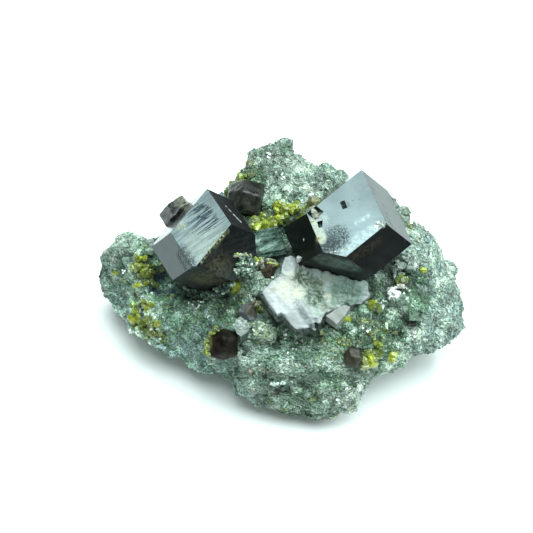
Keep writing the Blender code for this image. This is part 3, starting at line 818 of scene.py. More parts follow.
ZONES = (
    Zone("back ridge", (0.6, 15.0, 18.3), 4.5, percent(P=25, G=40, N=25, D=10), tone=0.72),
    Zone("back field", (4.5, 11.2, 17.2), 4.5, percent(P=40, G=35, B=10, N=15), 0.9, tone=0.83),
    Zone("right of the upper garnet", (0.4, 9.0, 17.2), 2.5, percent(P=35, G=30, N=20, D=15), 1.1,
         tone=0.95),
    Zone("left of the ridge", (-3.4, 12.2, 16.6), 2.2, percent(O=40, N=40, D=20)),
    Zone("crest by the back left", (-4.4, 15.4, 15.2), 1.5, percent(R=55, O=25, P=20)),
    Zone("left lobe, top", (-21.2, 3.5, 13.2), 3.0, percent(P=30, G=50, N=20), tone=1.05),
    Zone("left lobe, front", (-20.0, 0.0, 10.5), 3.0, percent(P=10, G=40, N=40, D=10), tone=1.1),
    Zone("left lobe, foot", (-23.6, 0.3, 6.0), 3.5, percent(G=40, N=35, B=25), 0.8, tone=1.1),
    Zone("left lobe, right side", (-17.2, 0.1, 12.0), 2.2, percent(O=25, N=30, D=20, B=25),
         tone=1.1),
    # painted shade: dark blue grains for the shade in the hollow under the left garnet's overhang
    Zone("blue hollow", (-16.0, -1.4, 9.9), 1.5, percent(S=100), 0.7, tone=1.9),
    Zone("left slope", (-18.6, -5.2, 7.6), 3.2, percent(P=25, G=25, O=35, N=15), 1.1, tone=2.0),
    Zone("left slope, edge", (-22.5, -2.8, 5.0), 3.0, percent(B=35, G=40, P=10, N=15), tone=1.45),
    # painted shade: dark and dark blue grains for the shade under the left garnet
    Zone("under the left garnet", (-13.0, -1.6, 10.0), 3.4, percent(D=25, N=40, S=15, B=20),
         tone=1.6),
    Zone("plain, top", (-12.5, -6.0, 10.2), 2.6, percent(G=25, N=40, O=10, D=25), tone=1.35),
    Zone("plain", (-12.0, -9.0, 7.2), 3.6, percent(B=50, N=35, G=15), 0.7, tone=1.6),
    Zone("plain, foot", (-9.0, -11.6, 5.0), 3.6, percent(B=40, G=40, N=20), 0.75, tone=1.45),
    Zone("green grains", (-7.0, -5.2, 11.6), 2.2, percent(P=15, N=40, O=15, D=30), 1.2, tone=1.1),
    Zone("by the lower garnet", (-9.4, -9.0, 9.0), 1.8, percent(B=30, N=40, D=30)),
    Zone("centre", (-4.2, -2.6, 14.0), 2.4, percent(P=40, G=25, N=20, D=15), 1.1, 1.7, 1.25),
    Zone("saddle", (-3.0, -5.0, 12.0), 2.0, percent(P=35, G=40, N=25)),
    # painted shade: mostly dark grains for the shade in a cavity beside the saddle
    Zone("left of the saddle", (-3.4, -5.4, 10.8), 1.2, percent(D=70, N=30)),
    Zone("behind the prism", (-1.0, 6.4, 16.2), 2.6, percent(P=30, N=35, O=10, D=25), 1.1),
    Zone("round the prism", (-1.0, 2.6, 14.8), 2.6, percent(B=20, N=35, D=45)),
    Zone("trough", (1.2, -9.7, 9.4), 2.8, percent(P=20, G=20, N=30, D=30), tone=1.5),
    # painted shade: mostly dark grains for the shade in the cleft
    Zone("cleft below the pale lump", (-2.4, -10.9, 9.2), 1.3, percent(N=35, D=65)),
    Zone("trough, right", (7.4, -9.9, 11.2), 1.8, percent(P=10, G=20, N=40, D=30), tone=1.2),
    Zone("front lobe, left", (-2.6, -13.4, 8.6), 3.2, percent(P=30, G=35, B=20, N=15), tone=0.86),
    Zone("front lobe, middle", (2.4, -14.2, 9.0), 3.0, percent(P=20, G=40, N=30, D=10), tone=0.83),
    Zone("front lobe, low", (2.7, -17.2, 4.4), 3.6, percent(P=15, G=35, O=15, N=35), 0.9, tone=0.83),
    Zone("front lobe, right", (7.4, -14.8, 8.2), 2.4, percent(P=35, G=25, N=40), 1.1, 2.6,
         heading=(0.72, 0.1, -0.68)),
    Zone("front lobe, back", (3.6, -12.9, 10.2), 1.5, percent(P=10, G=20, N=40, D=30), tone=1.1),
    Zone("front lobe, green", (5.2, -15.4, 8.6), 1.2, percent(G=20, N=60, D=20), 1.0, 2.8,
         heading=(0.76, 0.08, -0.62)),
    Zone("front lobe, streak", (8.2, -14.3, 9.0), 0.9, percent(W=15, P=60, G=25), 1.0, 3.6,
         heading=(0.76, 0.08, -0.62)),
    Zone("front lobe, hollow", (5.6, -17.1, 5.2), 1.0, percent(G=30, N=70)),
    # painted shade: mostly dark grains, toned down, for the shade in the notch
    Zone("front lobe, notch", (4.1, -17.6, 2.6), 1.1, percent(N=30, D=70), tone=0.7),
    Zone("knee", (9.1, -16.9, 5.9), 1.5, percent(W=25, P=50, G=25), 0.8, tone=0.74),
    Zone("slope by the trough", (6.4, -12.0, 10.4), 2.2, percent(P=25, O=20, N=40, G=15)),
    Zone("middle right", (12.3, -6.8, 13.8), 2.8, percent(P=15, G=25, N=40, D=20), 1.1),
    Zone("olive field", (13.0, -10.6, 11.4), 2.6, percent(P=20, O=20, N=40, D=20)),
    Zone("green right", (16.2, -7.2, 12.9), 1.8, percent(G=30, N=70), 0.8, tone=0.96),
    Zone("deep green", (18.4, -4.1, 11.9), 2.1, percent(N=85, D=15), 0.9, 1.6, tone=0.8),
    # painted shade: these four zones, in hollows, a crevice and the pocket of the clear grains, are
    # filled mostly with dark grains, some toned down, for the shade there
    Zone("hollow", (17.3, -8.6, 11.1), 0.8, percent(N=30, D=70), tone=0.8),
    Zone("hollow by the calcite", (11.6, -5.0, 14.1), 1.0, percent(N=50, D=50)),
    Zone("nest of the clear grains", (16.2, -2.0, 13.9), 2.0, percent(P=10, N=35, D=55), tone=0.7),
    Zone("crevice", (15.8, -9.6, 10.8), 1.1, percent(N=20, D=80)),
    Zone("pale band", (17.9, -9.0, 10.6), 1.2, percent(P=55, G=45), 1.2, tone=0.8),
    Zone("right edge", (22.8, -2.0, 10.0), 3.2, percent(P=12, G=53, B=35), 0.95, 1.9, 0.69,
         (0.1, -0.8, -0.5)),
    Zone("right shoulder", (19.4, 3.0, 13.0), 3.4, percent(P=25, G=50, B=25), 0.95, 1.7, 0.80,
         (0.6, -0.6, -0.3)),
    Zone("right, top", (16.4, 7.8, 13.2), 3.0, percent(P=40, G=30, N=30), 1.0, 1.3, 0.65),
    Zone("right, low", (20.8, -8.6, 8.4), 3.0, percent(P=15, G=40, B=45), 0.9, 1.5, 0.84),
    Zone("low right edge", (15.6, -12.0, 7.0), 2.8, percent(P=25, G=40, N=35), tone=1.1),
)
COMMON = Zone("sides and underside", (0.0, 0.0, 0.0), 1.0, percent(P=20, G=40, B=15, N=20, D=5))
EVERY_ZONE = (*ZONES, COMMON)
COMMON_WEIGHT = 0.02
ZONE_FALL = 1.6             # how sharply a zone ends
ZONE_WAVE = 2.2             # its edge wanders in waves of this length (mm)
ZONE_WANDER = 0.9           # and this far
CERTAIN = 0.002             # chances are kept this far from 0 and 1


@dataclass
class Blend:
    """What the zones say at a set of spots."""
    share: np.ndarray    # of each mineral, a column each
    grain: np.ndarray
    stretch: np.ndarray
    tone: np.ndarray
    heading: np.ndarray


def blend_zones(points: np.ndarray) -> Blend:
    """Weighs the zones at each point.

    Args:
        points: positions (mm).

    Returns:
        Shares of the minerals, and the size, stretch, tone and heading of the grains.
    """
    warp = np.stack([cloud_at(points, ZONE_WAVE, shift) for shift in (3.1, 17.7, 41.3)], axis=1)
    spread = points + warp * ZONE_WANDER
    shares = np.zeros((len(EVERY_ZONE), len(ORDER)))
    for row, zone in enumerate(EVERY_ZONE):
        for mineral, share in zone.mix:
            shares[row, ORDER.index(mineral)] = share
    weights = np.full((len(points), len(EVERY_ZONE)), COMMON_WEIGHT)
    for column, zone in enumerate(ZONES):
        away = np.linalg.norm(spread - zone.centre, axis=1) / zone.radius
        weights[:, column] = np.exp(-ZONE_FALL * away ** 2)
    weights /= weights.sum(1, keepdims=True)
    rest = ([getattr(zone, column) for zone in EVERY_ZONE]
            for column in ("grain", "stretch", "tone", "heading"))
    return Blend(weights @ shares, *(weights @ np.array(values) for values in rest))


def choose_minerals(blend: Blend, chance: np.ndarray) -> np.ndarray:
    """The mineral's number at each spot, from a chance from 0 to 1."""
    certain = np.clip(chance, CERTAIN, 1.0 - CERTAIN)
    return (np.cumsum(blend.share, axis=1) < certain[:, None]).sum(1)


# ------------------------------------------------------------------ finishes
@dataclass(frozen=True)
class RockFinish:
    """The rock between its grains: felted mineral with darker gaps."""
    cell: float = 0.42
    shadow: float = 0.55

    def material(self) -> bpy.types.Material:
        """Makes the material.

        Returns:
            The material.
        """
        graph = Graph("skarn_body")
        tint = graph.tint()
        gap = graph.cells(self.cell, "DISTANCE_TO_EDGE")
        fine = graph.cloud(0.20, 4.0)
        felt = graph.cloud(0.45, 3.0)
        factor = gap.between(0.0, 0.22, self.shadow, 1.0) * felt.between(0.3, 0.7, 0.75, 1.3)
        colour = graph.shade(tint, factor * (fine * 0.6 + 0.7))
        height = gap.between(0.0, 0.4) * 0.5 + fine * 0.35 + felt * 0.6
        return graph.finish({"Base Color": colour, "Roughness": felt.between(0.3, 0.7, 0.45, 0.75),
                             "Normal": graph.bump(height, 0.16), "IOR": 1.55})


@dataclass(frozen=True)
class GrainFinish:
    """Crystals of the rock's surface, each of one colour."""
    name: str = "skarn_grains"

    def material(self) -> bpy.types.Material:
        """Makes the material.

        Returns:
            The material.
        """
        graph = Graph(self.name)
        tint = graph.tint()
        gloss = graph.tint("Alpha")
        fine = graph.cloud(0.30, 3.0)
        speck = graph.cloud(0.13, 1.0)
        tone = fine.between(0.3, 0.7, 0.62, 1.5) * speck.between(0.3, 0.7, 0.64, 1.46)
        colour = graph.shade(tint, tone)
        return graph.finish({"Base Color": colour, "Roughness": gloss,
                             "Normal": graph.bump(fine + speck, 0.05), "IOR": 1.6})


@dataclass(frozen=True)
class Patch:
    """A patch of another colour on a crystal."""
    centre: Vec
    inner: float                # whole within this (mm)
    outer: float                # gone at this
    colour: Vec
    amount: float = 0.85
    ragged: float = 0.6         # how far its edge strays
    speckle: float = 0.5        # size of the gaps in it
    least: float = 0.0          # cover in those gaps
    matt: float = 1.0           # how dull it is
    faces: Vec | None = None    # only on faces that look this way
    end: Vec | None = None      # the other end of a long patch
    hush: float = 0.0           # how far it takes the face's reflections away


@dataclass(frozen=True)
class DarkGarnetFinish:
    """Near-black garnet: glassy faces with haze and painted sheen, painted shade where they mirror
    less, grooves, frosting and crust.
    """
    name: str
    top: Vec                    # normal of the face that is turned up
    patches: tuple[Patch, ...]
    grooves: tuple[Patch, ...] = ()
    groove_turn: Vec = (0.0, 0.0, 0.0)
    dull: tuple[tuple[Vec, float], ...] = ()    # faces, and how little they mirror
    brushed: float = 0.0        # how far fine lines dull the top
    base: Vec = (0.003, 0.0035, 0.0035)
    lit: Vec = (0.009, 0.011, 0.012)
    groove_hush: float = 0.55   # how far a groove takes the reflections away
    groove_rough: float = 0.20

    def material(self) -> bpy.types.Material:
        """Makes the material.

        Returns:
            The material.
        """
        graph = Graph(self.name)
        fine = graph.cloud(0.35, 4.0)
        wide = graph.cloud(2.4, 2.0)
        lines = graph.cloud(1.0, 2.0, graph.place((3.4, 0.20, 3.4), self.groove_turn), 0.5)
        top = graph.facing(self.top)
        colour = graph.mix(fine.between(0.45, 0.8, 0.0, 0.6), self.base, self.lit)
        rough = 0.10 + wide.between(0.35, 0.75, 0.0, 0.10) + lines.between(0.42, 0.62, 0.0, 0.07)
        height = fine * 0.02 + wide * 0.25 + lines * 0.05
        grooved = None
        for groove in self.grooves:
            mask = graph.spot(groove.centre, groove.inner, groove.outer, groove.ragged) * top
            cut = lines.between(0.50, 0.57) * mask
            colour = graph.mix(cut, colour, groove.colour)
            rough = rough + cut * self.groove_rough
            hushed = cut * self.groove_hush
            grooved = hushed if grooved is None else grooved.most(hushed)
            height = height - cut * groove.amount
        colour, cover, hush = graph.patched(colour, self.patches)
        height = height + cover * 0.25
        share = 0.0
        for normal, amount in self.dull:
            share = graph.facing(normal) * amount + share
        share = hush.most(share)
        if grooved is not None:
            share = share.most(grooved)
        if self.brushed:
            share = share.most(lines.between(0.34, 0.62, 0.0, self.brushed) * top)
        bump = graph.bump(height, 0.10)
        matt = {"Base Color": colour, "Roughness": 0.5, "Normal": bump, "IOR": 1.5,
                "Specular IOR Level": 0.12}
        return graph.finish({"Base Color": colour, "Roughness": (rough + cover * 0.5).least(0.9),
                             "Normal": bump, "IOR": 1.88, "Specular Tint": (0.80, 0.98, 1.0)},
                            matt, share)


@dataclass(frozen=True)
class BrownGarnetFinish:
    """Small brown garnet, darker inside, with an olive or rusty skin in places."""
    name: str
    base: Vec
    deep: Vec
    patches: tuple[Patch, ...] = ()
    roughness: float = 0.30
    mottle: float = 0.9
    gloss: float = 0.5

    def material(self) -> bpy.types.Material:
        """Makes the material.

        Returns:
            The material.
        """
        graph = Graph(self.name)
        fine = graph.cloud(self.mottle * 0.3, 4.0)
        wide = graph.cloud(self.mottle, 3.0)
        colour = graph.mix(wide.between(0.35, 0.65), self.deep, self.base)
        colour = graph.shade(colour, fine.between(0.25, 0.8, 0.7, 1.5))
        colour, cover, _ = graph.patched(colour, self.patches)
        rough = wide.between(0.3, 0.7, self.roughness * 0.75, self.roughness * 1.4) + cover * 0.15
        return graph.finish({"Base Color": colour, "Roughness": rough,
                             "Normal": graph.bump(fine + wide, 0.06), "IOR": 1.7,
                             "Specular IOR Level": self.gloss})


@dataclass(frozen=True)
class CalciteFinish:
    """Cleaved calcite: milky white, with green where it takes up the skarn."""
    name: str
    white: Vec = (0.385, 0.405, 0.412)
    shade: Vec = (0.29, 0.32, 0.325)
    patches: tuple[Patch, ...] = ()
    turn: Vec = (0.0, 0.0, -54.0)
    lines: float = 0.4          # how strongly the cleavage lines show
    # painted shade: steep sides, most of all low ones, are darkened towards the rock's green for the
    # shade on them
    wall_shade: float = 0.0          # how far its steep sides are painted with shade
    foot: float = 13.7          # above this the painted shade fades to a quarter (mm)
    wall_shade_colour: Vec = (0.026, 0.046, 0.033)

    def material(self) -> bpy.types.Material:
        """Makes the material.

        Returns:
            The material.
        """
        graph = Graph(self.name)
        along = graph.place((4.0, 0.42, 1.2), self.turn)
        lines = graph.cloud(1.0, 2.0, along, 0.55)
        patchy = graph.cloud(1.3, 4.0)
        fine = graph.cloud(0.3, 3.0)
        milk = lines * self.lines + patchy * (1.0 - self.lines)
        colour = graph.mix(milk.between(0.40, 0.56), self.shade, self.white)
        colour, cover, _ = graph.patched(colour, self.patches)
        # painted shade on the steep sides, strongest below the foot
        wall = graph.cloud(0.35, 3.0).between(0.3, 0.6, 0.5, 1.0)
        wall = wall * (1.0 - graph.facing(UP, 0.30, 0.62))
        level = graph.vector("DOT_PRODUCT", {0: graph.place(), 1: UP})
        low = (level + (patchy - 0.5) * 1.6).between(self.foot, self.foot + 0.5, 1.0, 0.25)
        colour = graph.mix(wall * low * self.wall_shade, colour, self.wall_shade_colour)
        height = lines * self.lines + fine * 0.35 + cover * graph.cloud(0.5, 3.0) * 1.2
        return graph.finish({"Base Color": colour, "Roughness": fine.between(0.3, 0.7, 0.28, 0.5),
                             "Normal": graph.bump(height, 0.10), "IOR": 1.58,
                             "Subsurface Weight": 0.2, "Subsurface Radius": (0.9, 1.0, 0.95),
                             "Subsurface Scale": 0.0006})


@dataclass(frozen=True)
class ClearFinish:
    """Clear colourless crystal."""
    name: str = "clear_crystal"

    def material(self) -> bpy.types.Material:
        """Makes the material.

        Returns:
            The material.
        """
        graph = Graph(self.name)
        veil = graph.cloud(0.5, 3.0)
        colour = graph.mix(veil.between(0.4, 0.65), (0.62, 0.70, 0.63), (0.22, 0.30, 0.24))
        return graph.finish({"Base Color": colour, "Roughness": veil.between(0.3, 0.8, 0.04, 0.2),
                             "Normal": graph.bump(veil, 0.03), "IOR": 1.54,
                             "Transmission Weight": 0.6})


@dataclass(frozen=True)
class PrismFinish:
    """Teal prism with fine lengthwise stripes."""
    name: str = "striped_prism"
    pale: Vec = (0.125, 0.195, 0.160)
    mid: Vec = (0.032, 0.074, 0.056)
    dark: Vec = (0.004, 0.014, 0.011)
    turn: Vec = (0.0, 0.0, PRISM_TURN)
    patches: tuple[Patch, ...] = (
        Patch((-2.3, -0.2, 16.2), 0.10, 0.50, (0.25, 0.37, 0.31), 0.9, 0.3, 0.3, 0.2, 1.0, None,
              (-0.5, 0.9, 16.2)),
        Patch((-3.1, 0.2, 16.2), 0.12, 0.42, (0.007, 0.026, 0.019), 1.0, 0.3, 0.6, 0.6, 1.0, None,
              (-0.5, 1.7, 16.3)),
        Patch((-3.3, 0.9, 16.4), 0.15, 0.55, (0.32, 0.44, 0.37), 0.95, 0.3, 0.3, 0.3, 1.0, None,
              (-2.7, 1.3, 16.4)),
        Patch((-0.3, 2.3, 16.4), 0.30, 0.95, (0.006, 0.022, 0.017), 1.0, 0.5, 0.3, 0.3),
        Patch((-2.9, 1.9, 16.5), 0.03, 0.15, SLIT, 0.95, 0.05, 0.8, 0.9, 1.0, None,
              (-2.5, 1.1, 16.3)),
        Patch((-2.5, 1.1, 16.3), 0.03, 0.14, SLIT, 0.95, 0.05, 0.8, 0.9, 1.0, None,
              (-1.7, 1.6, 16.2)))

    def material(self) -> bpy.types.Material:
        """Makes the material.

        Returns:
            The material.
        """
        graph = Graph(self.name)
        along = graph.place((5.0, 0.17, 0.17), self.turn)
        lines = graph.cloud(1.0, 3.0, along, 0.6)
        blotch = graph.cloud(1.6, 2.0)
        value = lines * 0.65 + blotch * 0.35
        colour = graph.node("ShaderNodeValToRGB",
                            {"stops": ((0.40, self.dark), (0.46, self.mid), (0.60, self.pale))},
                            {0: value})
        colour, _, _ = graph.patched(colour, self.patches)
        return graph.finish({"Base Color": colour, "Roughness": 0.32 + blotch * 0.2,
                             "Normal": graph.bump(lines, 0.16), "IOR": 1.36})


@dataclass(frozen=True)
class EpidoteFinish:
    """Yellow-green epidote, glassy."""
    name: str = "epidote_glassy"

    def material(self) -> bpy.types.Material:
        """Makes the material.

        Returns:
            The material.
        """
        graph = Graph(self.name)
        tint = graph.tint()
        fine = graph.cloud(0.4, 3.0)
        colour = graph.shade(tint, fine.between(0.25, 0.75, 0.55, 1.35))
        return graph.finish({"Base Color": colour, "Roughness": fine.between(0.3, 0.7, 0.12, 0.35),
                             "Normal": graph.bump(fine, 0.04), "IOR": 1.73})


@dataclass(frozen=True)
class FloorFinish:
    """Matt white board."""
    name: str = "pale_floor"
    white: float = 0.86

    def material(self) -> bpy.types.Material:
        """Makes the material.

        Returns:
            The material.
        """
        graph = Graph(self.name)
        haze = graph.cloud(30.0, 2.0)
        tone = haze.between(0.3, 0.7, self.white - 0.01, self.white)
        colour = graph.shade((1.0, 1.0, 1.0), tone)
        return graph.finish({"Base Color": colour, "Roughness": 0.9, "IOR": 1.3})


# ------------------------------------------------------------------ the rock
@dataclass
class Rock:
    """The lump of skarn: its body and the crust of grains on it."""
    node: bpy.types.Object
    crystals: BVHTree
    voxel: float = 0.29
    reach: float = 0.48         # the body closes up to a crystal nearer than this
    sink: float = 0.06          # and ends this far inside it
    relief: tuple[tuple[float, float], ...] = ((2.6, 0.18), (1.25, 0.19), (0.62, 0.13))
    relief_shade: float = 1.25   # painted light and shade: how much paler the ground is painted where it stands out, and darker where it sinks
    purity: float = 0.70        # how far a grain has one mineral's colour, not its zone's mean
    upper_spacing: float = 0.27
    lower_spacing: float = 0.46
    grain: float = 0.36
    chunks: float = 0.035       # share of the grains that are much larger
    foot_keep: float = 0.45     # no grain lower than this
    foot_fade: float = 1.2      # the relief grows from nothing up to this height
    patchiness: tuple[Vec, ...] = ((1.7, 9.0, 0.42), (0.7, 15.0, 0.24))     # length, shift, depth
    tone_cloud: Vec = (1.5, 27.0, 0.32)
    # painted shade: the body between the grains is painted darker than the grains, for the shade in
    # the gaps
    body_shade: float = 0.78
    body_rough: float = 0.6
    upper_tilt: float = -0.15   # a normal that looks up more than this is on the upper side
    upper_from: float = 2.2     # and is higher than this
    clearance: float = 0.10     # no grain's middle nearer to a crystal
    laths: Vec = (0.20, 0.38, 0.75)     # share of long grains, gain with stretch, most
    scatter: float = 0.22       # spread of the sizes
    jitter: float = 0.13
    shiny: float = 0.07         # share of the grains that shine
    nudges: tuple[tuple[Vec, float, Vec], ...] = (
        ((-1.6, 17.3, 17.0), 2.0, (-0.3, -0.35, -1.0)), ((-2.8, 16.0, 15.4), 2.4, (-1.5, 0.0, 0.6)),
        ((1.0, 17.3, 17.0), 1.6, (0.0, 0.0, 0.7)))

    def lift(self, points: np.ndarray) -> np.ndarray:
        """How far the ground stands out at each point (mm)."""
        return sum(cloud_at(points, length, 7.0 * number) * height
                   for number, (length, height) in enumerate(self.relief))

    def tones(self, points: np.ndarray, blend: Blend, scatter: float,
              rng: np.random.Generator) -> np.ndarray:
        """Colours of the rock.

        Args:
            points: positions (mm).
            blend: what the zones say there.
            scatter: how far chance alone picks the mineral.
            rng: the source of chance.

        Returns:
            One colour a point: its zone's mean drawn towards one mineral, painted paler on a rise and
                darker in a hollow.
        """
        colours = np.array([mineral.value for mineral in ORDER])
        chance = sum((cloud_at(points, length, shift) * depth
                      for length, shift, depth in self.patchiness), 0.5)
        own = colours[choose_minerals(blend, chance + rng.normal(0, scatter, len(points)))]
        mixed = (blend.share @ colours) * (1 - self.purity) + own * self.purity
        length, shift, depth = self.tone_cloud
        # painted light and shade from the relief, times a random tone cloud
        tone = np.exp(self.lift(points) * self.relief_shade + cloud_at(points, length, shift) * depth)
        return mixed * (tone * blend.tone)[:, None]

    def body(self) -> bpy.types.Mesh:
        """Makes the body.

        Returns:
            Its mesh, painted with the zones' tints.
        """
        mesh = remesh(self.node, self.voxel)
        points, normals = points_of(mesh), normals_of(mesh)
        for centre, radius, shift in self.nudges:
            away = np.linalg.norm(points - centre, axis=1) / radius
            points = points + np.clip(1 - away * away, 0.0, 1.0)[:, None] ** 2 * np.array(shift)
        near_foot = np.clip(points[:, 2] / self.foot_fade, 0.0, 1.0)
        moved = points + normals * (self.lift(points) * near_foot)[:, None]
        for number, spot in enumerate(points):
            place, _, _, away = self.crystals.find_nearest(Vector(spot), self.reach)
            if place is not None:
                heading = place - Vector(spot)
                moved[number] = place + heading * (self.sink / max(away, 1e-3))
        moved[:, 2] = np.maximum(moved[:, 2], 0.0)
        move_points(mesh, moved)
        tint = self.tones(points, blend_zones(points), 0.05, np.random.default_rng(SEED))
        rough = np.full((len(points), 1), self.body_rough)
        paint(mesh, np.concatenate((tint * self.body_shade, rough), axis=1))
        return mesh

    def crust(self, body: bpy.types.Mesh) -> dict[str, bpy.types.Mesh]:
        """Makes the grains.

        Args:
            body: the rock's body.

        Returns:
            Meshes by the name of the part of the rock.
        """
        rng = np.random.default_rng(SEED)
        parts: dict[str, tuple[float, float, float]] = {
            "crust_left": (self.upper_spacing, -99.0, -5.0),
            "crust_middle": (self.upper_spacing, -5.0, 8.0),
            "crust_right": (self.upper_spacing, 8.0, 99.0),
            "crust_under": (self.lower_spacing, -99.0, 99.0)}
        made: dict[str, bpy.types.Mesh] = {}
        for name, (spacing, start, end) in parts.items():
            spots, normals = sample(body, spacing, rng)
            upper = (normals[:, 2] > self.upper_tilt) & (spots[:, 2] > self.upper_from)
            kept = upper if name != "crust_under" else ~upper
            kept = kept & (spots[:, 0] >= start) & (spots[:, 0] < end) & (spots[:, 2] > self.foot_keep)
            spots, normals = spots[kept], normals[kept]
            free = np.array([self.crystals.find_nearest(Vector(spot), self.clearance)[0] is None
                             for spot in spots])
            coarse = spacing / self.upper_spacing
            made[name] = self._grains(name, spots[free], normals[free], coarse, rng)
        return made

    def _grains(self, name: str, spots: np.ndarray, normals: np.ndarray, coarse: float,
                rng: np.random.Generator) -> bpy.types.Mesh:
        """Makes one part of the crust.

        Args:
            name: the part's name.
            spots: where the grains sit.
            normals: the rock's normals there.
            coarse: size of the grains against those of the upper side.
            rng: the source of chance.

        Returns:
            The mesh: stubby grains, and laths that lie along the rock.
        """
        count = len(spots)
        blend = blend_zones(spots)
        draw = rng.random(count)
        chunk = draw > 1 - self.chunks
        share, gain, most = self.laths
        long = draw < np.clip(share + (blend.stretch - 1) * gain, 0.0, most)
        size = self.grain * coarse * blend.grain * np.exp(rng.normal(0, self.scatter, count))
        size = np.where(chunk, size * rng.uniform(1.4, 1.9, count), size)
        shape = np.stack((size * np.where(long, rng.uniform(1.3, 2.1, count), 1.1),
                          size * np.where(long, 0.55, rng.uniform(0.8, 1.1, count)),
                          size * np.where(long, 0.42, rng.uniform(0.55, 0.9, count))), axis=1)
        loose = _unit(rng.normal(size=(count, 3)))
        trend = headings_at(spots, 2.4, 50.0) + blend.heading * 1.4
        turns = lay_along(normals, np.where(long[:, None], trend, loose), 0.36, rng)
        rise = np.where(chunk, -0.22, rng.uniform(-0.12, 0.12, count))
        middles = spots + normals * (size * rise)[:, None]
        colours = self.tones(spots, blend, 0.10, rng) * np.exp(rng.normal(0.0, 0.13, (count, 1)))
        colours *= np.where(long, 1.15, 0.97)[:, None] * np.exp(rng.normal(0, 0.03, (count, 3)))
        gloss = np.where(rng.random(count) < self.shiny, 0.10, rng.uniform(0.36, 0.70, count))
        tint = np.concatenate((np.clip(colours, 0.0, 0.85), gloss[:, None]), axis=1)
        heap = Heap()
        for form, picked in ((Form.SPINDLE, ~long & ~chunk), (Form.BLOCK, long | chunk)):
            points, triangles = grow(form, middles[picked], shape[picked], turns[picked],
                                     self.jitter, rng)
            points[:, 2] = np.maximum(points[:, 2], 0.02)
            heap.add(points, triangles, per_corner(form, tint[picked]))
        return heap.build(name)

    def build(self) -> bpy.types.Mesh:
        """Makes the rock's pieces.

        Returns:
            The body's mesh, for others to sit on.
        """
        body = self.body()
        make_piece("rock_body", body, RockFinish().material(), ["matrix"])
        grains = GrainFinish().material()
        for name, mesh in self.crust(body).items():
            make_piece(name, mesh, grains)
        return body


# ------------------------------------------------------------------ garnets
LEFT_TOP = (-0.14, -0.24, 0.96)     # the way each face of the large crystals looks
LEFT_SIDE = (-0.80, -0.54, 0.27)
LEFT_FRONT = (0.60, -0.67, 0.44)
LEFT_LOW = (-0.06, -0.97, -0.25)
LEFT_NARROW = (0.66, 0.30, 0.69)
RIGHT_TOP = (-0.13, -0.16, 0.98)
RIGHT_SIDE = (-0.87, -0.35, 0.34)
RIGHT_FRONT = (0.48, -0.76, 0.45)
RIGHT_LOW = (-0.27, -0.94, -0.19)
RIGHT_NARROW = (0.74, 0.19, 0.64)
HAZE_AND_SHEEN = (0.10, 0.135, 0.15)          # thin pale film on a glassy face, which on the up-turned faces also paints the sheen of the lamp
FROST = (0.30, 0.36, 0.37)
DIM_REFLECTION = (0.046, 0.057, 0.065)        # painted shade: dark film that hides what a face mirrors, where less of the lamp is mirrored
# painted highlight: pale line along the left crystal's edge
EDGE_HIGHLIGHT = (0.36, 0.38, 0.36)
SMOKE = (0.010, 0.016, 0.020)       # where a face is rough and dark
CRUST = (0.34, 0.36, 0.28)
OLIVE_SKIN = (0.075, 0.078, 0.018)
RUSTY = (0.022, 0.018, 0.009)
BLUISH = (0.012, 0.028, 0.047)


